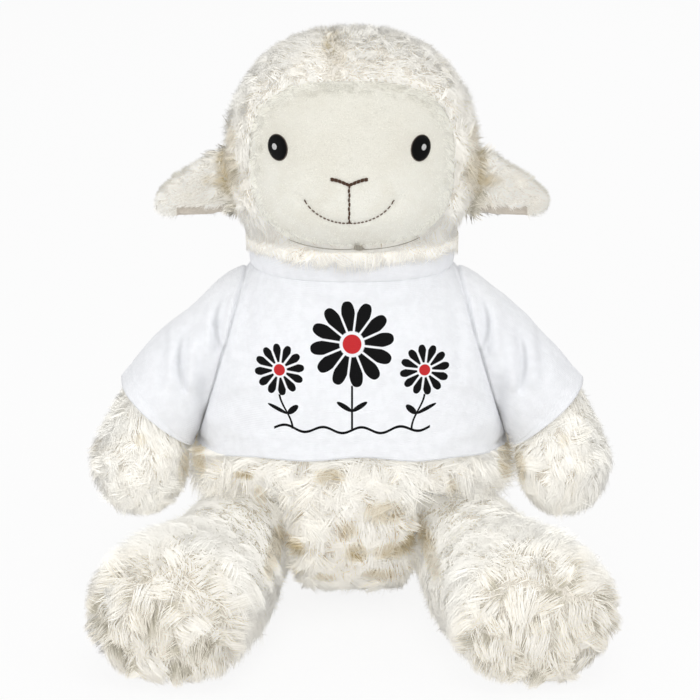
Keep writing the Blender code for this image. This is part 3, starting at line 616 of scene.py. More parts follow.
def thread_finish(name, colour, gloss, pitch, turn=0.0):
    """Satin thread: fine parallel ridges with a soft gloss, painted darker in the grooves between
    them.
    """
    finish = Finish(name, gloss, Specular_IOR_Level=0.10)
    x = finish.axes(finish.place((0, turn, 0)))[0]
    ridges = (x * (2 * math.pi / pitch)).sum("SINE") * 0.5 + 0.5
    fuzz = finish.noise(finish.place(), 2200.0)
    # painted shade: the colour darkens in the grooves between ridges, mixed with a random fuzz
    dark = [0.45 * c for c in colour]
    finish.colour(finish.blend_colours(ridges * 0.6 + fuzz * 0.4, dark, colour))
    finish.relief(ridges * 0.7 + fuzz * 0.3, 0.00025, 0.9)
    return finish


def daisy_mask(finish, x, z, centre_x, centre_z, radius):
    """1 on the petals of one daisy, with bare gaps between them, and its heart."""
    right, up = x - centre_x, z - centre_z
    reach = (right * right + up * up) ** 0.5
    angle = up.sum("ARCTAN2", right)
    turn = (angle * (PETALS / (2 * math.pi)) + 40.25).sum("FRACT")
    off = abs(turn - 0.5) * 2.0
    rim = radius - (off ** 2.6) * (radius * 0.42)
    inside = finish.ease(rim - reach, -0.00008, 0.00008)
    near_gap = (1.0 - off) * reach * (math.pi / PETALS)
    gaps = finish.ease(near_gap, PETAL_GAP, PETAL_GAP * 1.6)
    heart_rim = radius * 0.27
    beyond = finish.ease(reach, heart_rim * 1.06, heart_rim * 1.16)
    heart = 1.0 - finish.ease(reach, heart_rim * 0.80, heart_rim * 0.86)
    return inside * gaps * beyond, heart


def printed_finish(name, colour, ink, accent):
    """The jersey with a row of daisies on a wavy line printed on the chest."""
    finish = jersey_finish(name, colour)
    finish.shader.inputs["Sheen Weight"].default_value = 0.0
    finish.shader.inputs["Specular IOR Level"].default_value = 0.08
    x, y, z = finish.axes(finish.place())
    line = (x * (2 * math.pi / LINE_WAVE)).sum("SINE") * LINE_RISE + GROUND_Z
    ends = finish.ease(abs(x), GROUND_HALF_WIDTH, GROUND_HALF_WIDTH + 0.0003, 1.0, 0.0)
    ink_mask = (1.0 - finish.ease(abs(z - line), GROUND_HALF_THICKNESS,
                                  GROUND_HALF_THICKNESS + 0.00012)) * ends
    hearts = None
    for centre_x, centre_z, radius in DAISIES:
        petals, heart = daisy_mask(finish, x, z, centre_x, centre_z, radius)
        lean = centre_x * 0.82
        share = finish.ease(z, GROUND_Z, centre_z - radius * 0.9)
        stem_x = share * (centre_x - lean) + lean
        span = finish.ease(z, centre_z - radius * 0.98, centre_z - radius * 0.94, 1.0, 0.0)
        span = span * finish.ease(z, GROUND_Z - 0.0004, GROUND_Z, 0.0, 1.0)
        off = abs(x - stem_x)
        stem = (1.0 - finish.ease(off, STEM_HALF_WIDTH, STEM_HALF_WIDTH + 0.00012)) * span
        leaf_z = GROUND_Z + (centre_z - radius - GROUND_Z) * 0.45
        leaf_x = off - LEAF_HALF_LENGTH
        leaf_up = z - (leaf_z + 0.0016) - leaf_x * 0.55
        leaf = (leaf_x * leaf_x * (1 / LEAF_HALF_LENGTH ** 2)
                + leaf_up * leaf_up * (1 / LEAF_HALF_WIDTH ** 2))
        leaves = 1.0 - finish.ease(leaf, 0.92, 1.04)
        for part in (petals, stem, leaves):
            ink_mask = ink_mask.sum("MAXIMUM", part)
        hearts = heart if hearts is None else hearts.sum("MAXIMUM", heart)
    front = finish.ease(y, -0.012, -0.008, 1.0, 0.0)
    cloth = finish.shader.inputs["Base Color"].links[0].from_socket
    inked = finish.blend_colours(ink_mask * front, cloth, ink)
    finish.colour(finish.blend_colours(hearts * front, inked, accent))
    finish.feed(finish.shader.inputs["Roughness"],
                finish.ease(ink_mask * front, 0.0, 1.0, 0.72, 0.5))
    return finish


# Pile


def surface_of(thing):
    """Corner points, triangles and smooth normals of a piece."""
    mesh = thing.data
    mesh.calc_loop_triangles()
    triangles = np.empty(len(mesh.loop_triangles) * 3, np.int32)
    mesh.loop_triangles.foreach_get("vertices", triangles)
    return places(thing), triangles.reshape(-1, 3), normals(thing)


def waves(points, scale, seed):
    """A smooth field between -1 and 1, made of a few plane waves."""
    rng = np.random.default_rng(seed)
    total = np.zeros(len(points))
    for _ in range(7):
        direction = unit(rng.normal(size=3)) * rng.uniform(0.6, 1.5)
        total += np.sin(points @ direction * (2 * math.pi / scale) + rng.uniform(0, 6.28))
    return np.clip(total / 3.2, -1, 1)


# One coat of strands: how many, how long and how raised they are, how wide a lock is and how far
# its strands are drawn together, how far locks turn and curl, and a strand's width and segments
Pile = namedtuple("Pile", "count length lift lock pull swirl curl width steps mottle",
                  defaults=(2, 1.0))


class Wool:
    """How pile lies on a form. Each part of the sheep says where it differs from this."""

    def where(self, points, up):
        """Share of the strands that grow at each point."""
        return np.ones(len(points))

    def flow(self, points, up):
        """Direction in which strands lie."""
        return 0 * points + (0.0, -0.15, -1.0)

    def tone(self, points, up):
        """Above nought a strand is paler, and below it darker."""
        return 0.0

    def scale(self, points, up):
        """Share of a strand's full length."""
        return 1.0

    def stand(self, points, up):
        """Share of the coat's lift."""
        return 1.0

    def lean(self, points, up):
        """Direction that the strands' shading faces."""
        return up

    def clear(self, points, roots):
        """Points of strands, moved out of the cloth that hangs over them."""
        return points


def outline_only(points, up):
    """1 where the skin is seen edge on from the front."""
    return 1 - smooth_step(np.abs(up[:, 1]), 0.30, 0.60)


def fringe_coat(count, length, width, lift, lock=0.0060, pull=0.0, swirl=0.8, curl=0.05):
    """Thin strands that stand out from the outline."""
    pile = Pile(count, length, lift, lock, pull, swirl, curl, width * 0.6, 1)
    return "fringe", pile, outline_only


def nearest_lock(points, seeds):
    found = np.empty(len(points), np.int64)
    for start in range(0, len(points), 2048):
        part = points[start:start + 2048]
        gaps = ((part[:, None, :] - seeds[None, :, :]) ** 2).sum(2)
        found[start:start + 2048] = gaps.argmin(1)
    return found


def grow_coats(name, form, coats, seed, wool):
    """One coat of strands after the other, each with its own share of the form."""
    pieces = []
    for number, (word, pile, *share) in enumerate(coats):
        pieces += grow_pile(f"{name}_{word}", form, pile, seed + 7 * number, wool, *share)
    return pieces


def grow_pile(name, form, pile, seed, wool, share=None):
    """Strand meshes over a form, drawn together into locks."""
    rng = np.random.default_rng(seed)
    co, triangles, out = surface_of(form)
    a, b, c = (co[triangles[:, i]] for i in range(3))
    area = np.linalg.norm(np.cross(b - a, c - a), axis=1) / 2
    middle, facing = (a + b + c) / 3, unit(out[triangles].sum(1))
    dense = wool.where(middle, facing) * (share(middle, facing) if share else 1.0)
    weight = area * np.clip(dense, 0, None)
    count = pile.count
    chosen = rng.choice(len(triangles), count, p=weight / weight.sum())
    first, second = np.sqrt(rng.random(count)), rng.random(count)
    shares = np.stack((1 - first, first * (1 - second), first * second), 1)[:, :, None]
    root = (co[triangles[chosen]] * shares).sum(1)
    up = unit((out[triangles[chosen]] * shares).sum(1))

    locks = max(FEWEST_LOCKS, int(weight.sum() / pile.lock ** 2))
    seeds = rng.choice(count, min(locks, count), replace=False)
    group = nearest_lock(root, root[seeds])
    angle = rng.normal(0, pile.swirl, len(seeds))[group] + rng.normal(0, STRAND_SWIRL, count)
    sense = rng.choice((-1.0, 1.0), len(seeds))[group]
    sense = sense * rng.uniform(*BEND_SPREAD, len(seeds))[group]
    ahead = wool.flow(root, up)
    ahead = unit(ahead - (ahead * up).sum(1, keepdims=True) * up)
    aside = np.cross(up, ahead)
    lay = ahead * np.cos(angle)[:, None] + aside * np.sin(angle)[:, None]
    bend = np.cross(up, lay) * sense[:, None]
    length = pile.length * rng.uniform(*LENGTH_SPREAD, count)
    length *= rng.uniform(*LOCK_SPREAD, len(seeds))[group]
    length *= wool.scale(root, up)
    raised = pile.lift * rng.uniform(*LIFT_SPREAD, count) * wool.stand(root, up)
    raised = np.minimum(raised, STEEPEST)
    flat = np.sqrt(1 - raised ** 2)

    def path(which, s):
        """Where strands are at a share s of their length: risen first, then laid over."""
        long = length[which]
        rise = up[which] * (long * raised[which] * (s - 0.28 * s * s))[:, None]
        level = lay[which] * (long * flat[which] * (0.35 * s + 0.65 * s * s))[:, None]
        curl = bend[which] * (long * pile.curl * math.sin(2.4 * s) * s)[:, None]
        return root[which] + rise + level + curl

    rings = []
    for step in range(pile.steps + 1):
        s = step / pile.steps
        pull = pile.pull * s ** 1.15
        points = path(slice(None), s) * (1 - pull) + path(seeds[group], s) * pull
        if step == 0:
            points = points - up * STRAND_SINK
        points = wool.clear(points, root)
        floor = FLOOR_GAP + FLOOR_SPREAD * rng.random(count) * (s > 0)
        points[:, 2] = np.maximum(points[:, 2], floor)
        rings.append(points)
    mottle = LOCK_MOTTLE * rng.normal(size=len(seeds))[group]
    mottle = mottle + STRAND_MOTTLE * rng.normal(size=count)
    tone = np.clip(MIDDLE_TONE + pile.mottle * mottle + wool.tone(root, up), 0.02, 0.98)
    # a strand that faces down is lit by the floor, so its shading looks down less
    shade = wool.lean(root, up)
    shade = unit(vectors(shade[:, 0], shade[:, 1],
                         np.where(shade[:, 2] < 0, 0.3, 1.0) * shade[:, 2]))
    return strand_pieces(name, rings, pile.width * rng.uniform(*WIDTH_SPREAD, count), tone, shade)


def strand_pieces(name, rings, width, tone, shade):
    """Closed three-sided strands through rings of points, split into pieces."""
    triangles = (len(rings) - 1) * 6 - 2
    order = np.argsort(np.arctan2(rings[0][:, 0], -rings[0][:, 1]), kind="stable")
    parts = max(1, math.ceil(len(order) / (PIECE_TRIANGLES // triangles)))
    pieces = []
    for number, chosen in enumerate(np.array_split(order, parts)):
        label = name if parts == 1 else f"{name}_{number + 1}"
        pieces.append(strand_mesh(label, [ring[chosen] for ring in rings], width[chosen],
                                  tone[chosen], shade[chosen]))
    return pieces


def strand_faces(steps):
    """Corners of a strand's faces: three quads a segment, the tip's triangles, the root's."""
    tip, top = steps * 3, (steps - 1) * 3
    quads = [(low + corner, low + corner + 3, low + (corner + 1) % 3 + 3, low + (corner + 1) % 3)
             for low in range(0, top, 3) for corner in range(3)]
    ends = [(top + corner, tip, top + (corner + 1) % 3) for corner in range(3)] + [(0, 1, 2)]
    return quads + ends


def strand_mesh(name, rings, width, tone, shade):
    """One piece of strands, with its tone and the way along a strand in its UV map."""
    steps, count = len(rings) - 1, len(width)
    per = steps * 3 + 1
    co = np.empty((count, per, 3))
    direction = unit(rings[-1] - rings[0] + 1e-9)
    helper = np.where(np.abs(direction[:, 2:3]) < 0.8, (0.0, 0.0, 1.0), (1.0, 0.0, 0.0))
    for step in range(steps):
        ahead = unit(rings[step + 1] - rings[max(step - 1, 0)] + 1e-9)
        side = unit(np.cross(ahead, helper))
        other = np.cross(side, ahead)
        radius = width / 2 * STRAND_TAPER[step]
        for corner in range(3):
            turn = 2 * math.pi * corner / 3
            arm = side * math.cos(turn) + other * math.sin(turn)
            co[:, step * 3 + corner] = rings[step] + arm * radius[:, None]
    co[:, -1] = rings[-1]
    co[:, :, 2] = np.maximum(co[:, :, 2], LOWEST)

    faces = strand_faces(steps)
    pattern = np.array([corner for face in faces for corner in face])
    loops = (pattern[None, :] + (np.arange(count) * per)[:, None]).ravel()
    sizes = np.tile([len(face) for face in faces], count)
    starts = np.concatenate(([0], np.cumsum(sizes)[:-1]))
    mesh = bpy.data.meshes.new(name)
    mesh.vertices.add(count * per)
    mesh.vertices.foreach_set("co", co.astype(np.float32).ravel())
    mesh.loops.add(len(loops))
    mesh.loops.foreach_set("vertex_index", loops.astype(np.int32))
    mesh.polygons.add(len(sizes))
    mesh.polygons.foreach_set("loop_start", starts.astype(np.int32))
    # the tip is the last point; round a strand the tone differs a little, so no face is a line
    corners = np.arange(per)
    across = np.where(corners < per - 1, (corners % 3 - 1) * 0.006, 0.0)
    along = np.where(corners < per - 1, corners // 3 / steps, 1.0)
    uv = np.empty((count, len(pattern), 2), np.float32)
    uv[:, :, 0] = np.clip(tone[:, None] + across[pattern][None, :], 0, 1)
    uv[:, :, 1] = 0.01 + 0.98 * along[pattern][None, :]
    mesh.uv_layers.new(name="OFBake").uv.foreach_set("vector", uv.ravel())
    mesh.update(calc_edges=True)
    mesh.shade_smooth()
    # the shading leans towards the skin's own direction, as light that spreads in real pile does
    thing = put_in_scene(name, mesh)
    skin = np.repeat(shade, per, axis=0) * NAP_SOFTNESS
    leaning = unit(normals(thing) * (1 - NAP_SOFTNESS) + skin)
    mesh.normals_split_custom_set_from_vertices(leaning.tolist())
    return thing


def settle(thing, finish, body, slot_name, *nodes):
    """Give a piece its finish and its body, and hide the CAD nodes that it stands for; slot_name is
    not used.
    """
    finish.dress(thing)
    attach(thing, body)
    if nodes:
        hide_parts(*nodes)


def stuffed(name, voxel, cap, grow, backing, reshape=None):
    """A padded form on the body of its name, in place of that body's cover and stuffing."""
    form = merged_copy(f"{name}_stuffing", name)
    puff(form, voxel, cap, grow)
    if reshape:
        move_to(form, reshape(places(form)))
    settle(form, backing, name, "wool_plush")
    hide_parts(f"{name}_cover", f"{name}_stuffing")
    return form


def pile_of(settings, name, gap=None, level=1.0, shade_patches=()):
    """The finish of a pile; level darkens all of it, and the shade patches name where its painted
    tan shade lies.
    """
    colours = (settings.tip, settings.root, settings.shade, gap or settings.gap)
    return pile_finish(name, *(tuple(level * c for c in colour) for colour in colours),
                       shade_patches=shade_patches, shade_tan=settings.shade_tan)


def settle_pile(things, body, finish, settings):
    """Give strands their finish; the stray ones of an outline get a darker finish, painted shade
    for strands seen edge on.
    """
    stray = pile_finish(f"{body}_stray", settings.stray, settings.stray, settings.sole_gap,
                        settings.sole_gap)
    for thing in things:
        settle(thing, stray if "fringe" in thing.name else finish, body, "wool_plush")


# Face


def head_sizes(z):
    return eased(HEAD_ROWS, z)


def face_depth(x, z):
    """y of the face's surface, with its muzzle, dimples and tucks."""
    half_width, front, _ = head_sizes(z)
    share = np.clip(np.abs(x) / half_width, 0, 0.999)
    y = -front * (1 - share ** HEAD_POWER) ** (1 / HEAD_POWER)
    x = x - FACE_SHIFT
    muzzle = 0.0020 * spot(x, z, 0, MUZZLE_Z, 0.0175, 0.0115)
    cheeks = 0.0008 * spot(np.abs(x), z, 0.024, 0.1700, 0.008, 0.008)
    sockets = -0.0011 * spot(np.abs(x), z, EYE_X, EYE_Z, 0.0062, 0.0072)
    bridge = 0.0006 * hump(x, 0, 0.007) * smooth_step(z, 0.178, 0.196)
    seam = bump_line(x, z, (0.0004, 0.190), (0.0012, 0.216), 0.0007, -0.00035)
    crease = bump_line(x, z, (0.006, 0.205), (0.024, 0.214), 0.0016, -0.0005)
    corners = sum(bump_line(side * x, z, (0.0178, 0.1728), (0.0196, 0.1765), 0.0016, -0.0007)
                  for _, side in SIDES)
    stem = bump_line(x, z, (0, 0.1650), (0, 0.1815), 0.0011, -0.0007)
    chin = bump_line(x, z, (0.0012, 0.1573), (0.0046, 0.1582), 0.0012, -0.0016)
    smile = -0.0005 * hump(z, smile_height(x + FACE_SHIFT), 0.0012)
    smile = smile * (np.abs(x) < MOUTH_HALF_WIDTH * 0.97)
    relief = (muzzle + cheeks + sockets + bridge + seam + crease + corners + stem + chin
              + smile)
    return y - relief


def smile_height(x):
    share = np.clip(np.abs(x - FACE_SHIFT) / MOUTH_HALF_WIDTH, 0, 1)
    return MOUTH_Z + MOUTH_RISE * (1 - np.sqrt(1 - 0.92 * share ** 2)) / (1 - math.sqrt(0.08))


def on_face(x, z, lift=0.0):
    """Points over the face, and the way out of it there."""
    y, step = face_depth(x, z), 1e-4
    slope_x = (face_depth(x + step, z) - y) / step
    slope_z = (face_depth(x, z + step) - y) / step
    out = unit(vectors(slope_x, -1.0, slope_z))
    return vectors(x, y, z) + out * lift, out


def face_window(x, z):
    """Below 1 inside the window of the face, above 1 outside."""
    across = np.abs(x) / FACE_HALF_WIDTH
    up = np.abs(z - FACE_MIDDLE_Z) / FACE_HALF_HEIGHT
    return (across ** FACE_POWER + up ** FACE_POWER) ** (1 / FACE_POWER)


def thread_tube(name, path, radius):
    """A closed tube of thread along a path of points, narrowed at its ends."""
    curve = bpy.data.curves.new(name, "CURVE")
    curve.dimensions = "3D"
    curve.bevel_depth = radius
    curve.bevel_resolution = 2
    curve.use_fill_caps = True
    spline = curve.splines.new("POLY")
    spline.points.add(len(path) - 1)
    for i, (point, place) in enumerate(zip(spline.points, path)):
        point.co = (*place, 1)
        end = min(i, len(path) - 1 - i)
        point.radius = (0.55, 0.85)[end] if end < 2 and len(path) > 4 else 1.0
    thing = bpy.data.objects.new(name, curve)
    bpy.context.collection.objects.link(thing)
    take(thing)
    bpy.ops.object.convert(target="MESH")
    return bpy.context.view_layer.objects.active


def joined(name, things):
    bpy.ops.object.select_all(action="DESELECT")
    for thing in things:
        thing.select_set(True)
    bpy.context.view_layer.objects.active = things[0]
    bpy.ops.object.join()
    things[0].name = name
    things[0].data.shade_smooth()
    return things[0]


def embroidered_oval(name, x, z, half_width, half_height, tilt, lift, crown):
    """A domed oval of satin stitch that lies on the face."""
    bpy.ops.object.select_all(action="DESELECT")
    bpy.ops.mesh.primitive_uv_sphere_add(segments=48, ring_count=24, radius=1)
    thing = bpy.context.view_layer.objects.active
    thing.name = name
    co = places(thing)
    # the sphere's z is the way out of the face: squarer edge, flat crown
    reach = np.hypot(co[:, 0], co[:, 1])
    dome = np.sign(co[:, 2]) * (1 - np.clip(reach, 0, 1) ** 3.2) ** 0.5
    u, v = co[:, 0] * half_width, co[:, 1] * half_height
    dx = u * math.cos(tilt) - v * math.sin(tilt)
    dz = u * math.sin(tilt) + v * math.cos(tilt)
    base, out = on_face(x + dx, z + dz, lift)
    rise = np.where(dome > 0, dome * crown, dome * 0.0006)
    move_to(thing, base + out * rise[:, None])
    # the dome's up side now faces -Y, so the shell is turned right side out
    edit_whole(bpy.ops.mesh.normals_make_consistent, inside=False)
    thing.data.shade_smooth()
    return thing


# Shirt


def armhole_x(z):
    """x of the seam plane between shirt and sleeve."""
    share = (SHOULDER_TOP[1] - z) / (SHOULDER_TOP[1] - UNDERARM[1])
    return SHOULDER_TOP[0] + (UNDERARM[0] - SHOULDER_TOP[0]) * share


def shirt_surface(u, t, front):
    """Points of half the shirt; u runs from side to side and t from hem to collar."""
    sign = -1 if front else 1
    rise = HEM_FRONT_RISE * (1.1 if front else 1.0)
    hem = HEM_SIDE_Z + rise * (1 - np.abs(u) ** SHIRT_POWER).clip(0) ** (2 / SHIRT_POWER)
    hem = hem + 0.0007 * np.sin(9 * u + (1 if front else 4))
    z = hem + (SHIRT_TOP_Z - hem) * t
    half_width, front_reach, back_reach = eased(SHIRT_ROWS, z, 5)
    edge = np.where(z > SHOULDER_TOP[1], half_width, np.minimum(half_width, armhole_x(z)))
    x = u * edge
    depth = front_reach if front else back_reach

    def body(at):
        share = np.clip(np.abs(at) / half_width, 0, 1)
        return sign * depth * (1 - share ** SHIRT_POWER) ** (1 / SHIRT_POWER)

    span = (SHOULDER_TOP[1] - UNDERARM[1]) / 2
    middle = (SHOULDER_TOP[1] + UNDERARM[1]) / 2
    s = np.clip((z - middle) / span, -1, 1)
    at_seam = SHOULDER_Y + sign * ARMHOLE_HALF_DEPTH * np.sqrt(1 - s * s)
    # near the underarm the body is close to its side, so only its rim is drawn to the seam
    start = 0.30 + 0.56 * smooth_step(edge / half_width, 0.93, 1.0)
    share = np.clip((np.abs(u) - start) / (1 - start), 0, 1)
    y = body(x) + (at_seam - body(edge)) * share * share * (3 - 2 * share)
    return np.stack((x, y, z), -1)


def make_shirt_panel(word, front, finish):
    rows, columns = 64, 121
    v = np.linspace(-1, 1, columns)
    u, t = np.meshgrid(np.sin(v * math.pi / 2), np.linspace(0, 1, rows))
    co = shirt_surface(u.ravel(), t.ravel(), front)
    x, z = co[:, 0], co[:, 2]
    u, t = u.ravel(), t.ravel()
    rise = 0.0006 * waves(co, 0.035, 5 + front) * smooth_step(1 - np.abs(u), 0, 0.2)
    for side in (-1, 1):
        for fold in PANEL_FOLDS:
            rise += bump_line(side * x, z, *fold)
    rise += bump_line(x, z, (-0.012, 0.1365), (0.020, 0.1350), 0.0026, 0.0008)
    rise += 0.0008 * smooth_step(np.abs(u), 0.90, 0.97) * smooth_step(z, 0.070, 0.080)
    rise *= 1 - smooth_step(t, 0.90, 1.0)
    rise += bump_line(t, t * 0, (0.095, 0), (0.0951, 0), 0.010, -0.00028)
    sign = -1 if front else 1
    co[:, 1] += sign * rise
    thing = sheet_of(f"shirt_{word}", co, grid_faces(rows, columns), CLOTH_WALL, (0, sign, 0))
    settle(thing, finish, "torso", "jersey", f"shirt_{word}_panel")
    return thing


def sleeve_line(a):
    """The six sizes of a sleeve's stations, on a curve through all three."""
    first, middle, last = SLEEVE_STATIONS[:, :, None]
    pull = 2 * middle - (first + last) / 2
    return (1 - a) ** 2 * first + 2 * a * (1 - a) * pull + a * a * last


def make_sleeve(word, side, finish):
    """A jersey tube from the armhole to the cuff, with folds and a puckered seam."""
    around, along = 152, 58
    a, f = np.meshgrid(np.linspace(SLEEVE_START, 1, along),
                       np.arange(around) * 2 * math.pi / around, indexing="ij")
    a, f = a.ravel(), f.ravel()
    top_x, top_z, low_x, low_z, y, depth = sleeve_line(a)
    c, s = np.cos(f), np.sin(f)
    x = (top_x + low_x) / 2 + (top_x - low_x) / 2 * c
    z = (top_z + low_z) / 2 + (top_z - low_z) / 2 * c
    co = vectors(side * x, y + depth * s, z)
    out = unit(co - vectors(side * (top_x + low_x) / 2, y, (top_z + low_z) / 2))
    rise = 0.0009 * waves(co, 0.030, 31 + side) * smooth_step(a, 0.0, 0.25)
    front = np.clip(-s, 0, 1)
    for fold in SLEEVE_FOLDS:
        rise += front * bump_line(x, z, *fold)
    rise += 0.0030 * np.clip(c, 0, 1) ** 2 * hump(a, 0.17, 0.15)
    pucker = hump(a, 0, 0.024) * (0.00025 * np.sin(f * 23) * (c > -0.6) - 0.0026)
    stitch = -0.0003 * hump(a, 0.915, 0.012)
    co += out * (rise + pucker * smooth_step(a, 0.0, 0.02) + stitch)[:, None]
    # at the back the sleeve starts under the panel, so that no slit opens at the seam
    tucked = hump(a, SLEEVE_START, 0.03) * smooth_step(s, 0.15, 0.50)
    co += np.array((-side * 0.0022, 0.0030, 0.0)) * tucked[:, None]
    thing = sheet_of(f"{word}_sleeve_cloth", co, grid_faces(along, around, wrap=True),
                     CLOTH_WALL, out)
    finish.dress(thing)
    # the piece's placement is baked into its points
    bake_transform(thing)
    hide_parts(f"{word}_sleeve")
    return thing


def make_collar(finish):
    """A folded band: round at the top, sunk a little into the shirt below."""
    around = 160
    wall, low, high = COLLAR_WALL, SHIRT_TOP_Z - 0.0012, COLLAR_TOP_Z
    profile = ((0.0, low), (0.0006, low + 0.002), (0.0010, low + 0.005), (0.0010, low + 0.009),
               (0.0009, high - 0.0009), (0.0004, high - 0.0003), (-0.0003, high),
               (-0.0008, high - 0.0003), (-wall + 0.0004, high - 0.001),
               (-wall, low + 0.008), (-wall, low + 0.004), (-wall, low))
    f = np.arange(around) * 2 * math.pi / around
    x, y = rounded(np.cos(f), SHIRT_POWER), rounded(np.sin(f), SHIRT_POWER)
    depth = np.where(y < 0, COLLAR_FRONT, COLLAR_BACK)
    wave = 0.0006 * np.sin(3 * f + 0.7) + 0.0004 * np.sin(7 * f)
    co = np.concatenate([vectors(x * (COLLAR_HALF_WIDTH + out), y * (depth + out),
                                 z + wave * ((z - low) / (high - low))) for out, z in profile])
    # the last row of faces runs back to the first ring, so the band is closed
    faces = [[corner % len(co) for corner in face]
             for face in grid_faces(len(profile) + 1, around, wrap=True)]
    thing = piece_of("collar", co, faces)
    edit_whole(bpy.ops.mesh.normals_make_consistent, inside=False)
    add_modifier(thing, "SUBSURF", levels=1, render_levels=1)
    thing.data.shade_smooth()
    settle(thing, finish, "torso", "jersey", "collar_band")


# Settings


def tint(name, description, colour):
    """A colour that a user may change."""
    return FloatVectorProperty(name=name, description=description, subtype="COLOR",
                               default=colour, min=0, max=1)


def measure(name, description, value, least, most, **unit):
    """A size, angle or power that a user may change."""
    return FloatProperty(name=name, description=description, default=value, min=least,
                         max=most, **unit)


def pile_length(place, value, most):
    return measure(f"{place} length", f"Length of the pile on the {place.lower()}", value, 0.002,
                   most, unit="LENGTH")


class PileSettings(bpy.types.PropertyGroup):
    """Lengths and colours of the pile."""

    tip: tint("Tip", "Colour of the strands' tips", (0.97, 0.952, 0.895))
    root: tint("Root", "Colour of the strands' roots", (0.90, 0.855, 0.76))
    shade: tint("Shade", "Colour of the darker locks", (0.895, 0.85, 0.755))
    gap: tint("Gap", "Colour where the ground shows between locks", (0.52, 0.42, 0.29))
    # painted shade: the stray strands of an outline are drawn in this darker colour
    stray: tint("Stray", "Colour of the stray strands", (0.74, 0.715, 0.63))
    # painted shade: the tan that the patches between locks and parts are drawn in
    shade_tan: tint("Shade tan", "Colour deep between the longest locks", (0.42, 0.30, 0.085))
    sole_gap: tint("Sole gap", "Colour between the soles' tufts", (0.52, 0.485, 0.39))
    belly: pile_length("Belly", 0.0135, 0.03)
    leg: pile_length("Leg", 0.0105, 0.03)
    arm: pile_length("Arm", 0.0090, 0.03)
    head: pile_length("Head", 0.0062, 0.02)
    ear: pile_length("Ear", 0.0034, 0.02)
    tail: pile_length("Tail", 0.0080, 0.02)
    width: measure("Strand width", "Width of a strand of pile", 0.00042, 0.0001, 0.002,
                   unit="LENGTH")


class FaceSettings(bpy.types.PropertyGroup):
    """Colours of the face and its embroidery."""

    plush: tint("Face", "Colour of the smooth face plush", (0.825, 0.815, 0.745))
    plush_shade: tint("Face shade", "Colour between its tufts", (0.745, 0.722, 0.637))
    eye: tint("Eyes", "Colour of the eyes' thread", (0.002, 0.002, 0.0025))
    outline: tint("Eye outline", "Colour round the eyes", (0.16, 0.13, 0.11))
    nose: tint("Nose", "Colour of the nose's thread", (0.13, 0.075, 0.05))
    smile: tint("Smile", "Colour of the smile's thread", (0.21, 0.15, 0.115))
    # painted shade: the grey of the chin's seam thread stands in for the shade in its crease
    chin_seam_shade: tint("Chin seam", "Colour of the seam at the chin", (0.48, 0.45, 0.38))
    lining: tint("Ear lining", "Colour of the ears' lining", (0.66, 0.60, 0.52))


class ShirtSettings(bpy.types.PropertyGroup):
    """Colours of the shirt and its print."""

    cloth: tint("Jersey", "Colour of the jersey", (0.885, 0.897, 0.925))
    ink: tint("Ink", "Colour of the print", (0.003, 0.003, 0.0035))
    accent: tint("Accent", "Colour of the daisies' hearts", (0.55, 0.03, 0.035))


class StageSettings(bpy.types.PropertyGroup):
    """Camera, lamps and floor."""

    distance: measure("Camera distance", "From the middle of the sheep", 1.1, 0.3, 5,
                      unit="LENGTH")
    height: measure("Aim height", "Height that the camera looks at", 0.1035, 0, 0.3,
                    unit="LENGTH")
    tilt: measure("Camera elevation", "Angle above the horizon", math.radians(15), 0, 1.5,
                  subtype="ANGLE")
    scale: measure("Pixels per metre", "At the middle of the sheep", 2455, 500, 9000)
    key: measure("Key lamp", "Power of the main soft lamp", 15.2, 0, 500, unit="POWER")
    fill: measure("Fill lamps", "Power of each side lamp", 7.4, 0, 500, unit="POWER")
    top: measure("Top lamp", "Power of the lamp overhead", 9.6, 0, 500, unit="POWER")
    sky: measure("World", "Strength of the even light", 0.53, 0, 3)


# Wool of each part


def both_sides(shade_patches):
    return tuple((side * x, *rest) for _, side in SIDES for x, *rest in shade_patches)


def hem_height(x):
    """z of the shirt's hem over the belly."""
    share = np.clip(np.abs(x) / HEM_HALF_WIDTH, 0, 1)
    return HEM_SIDE_Z + HEM_FRONT_RISE * (1 - share ** SHIRT_POWER) ** (2 / SHIRT_POWER)


def belly_lifted(co):
    """The belly's lower front curls up from the floor, where the real one has slack."""
    lifted = smooth_step(-co[:, 1], -0.030, 0.026) * (1 - smooth_step(co[:, 2], 0.0, 0.045))
    co[:, 2] += BELLY_LIFT * lifted
    return co


def belly_gaps(x, z, spread):
    """1 in the middle of the belly's bare patches."""
    total = 0
    for spot_x, spot_z, wide, high, depth in BELLY_SHADE_PATCHES:
        total = total + depth * spot(x, z, spot_x, spot_z, wide * spread, high * spread)
    return np.minimum(total, 1.0)


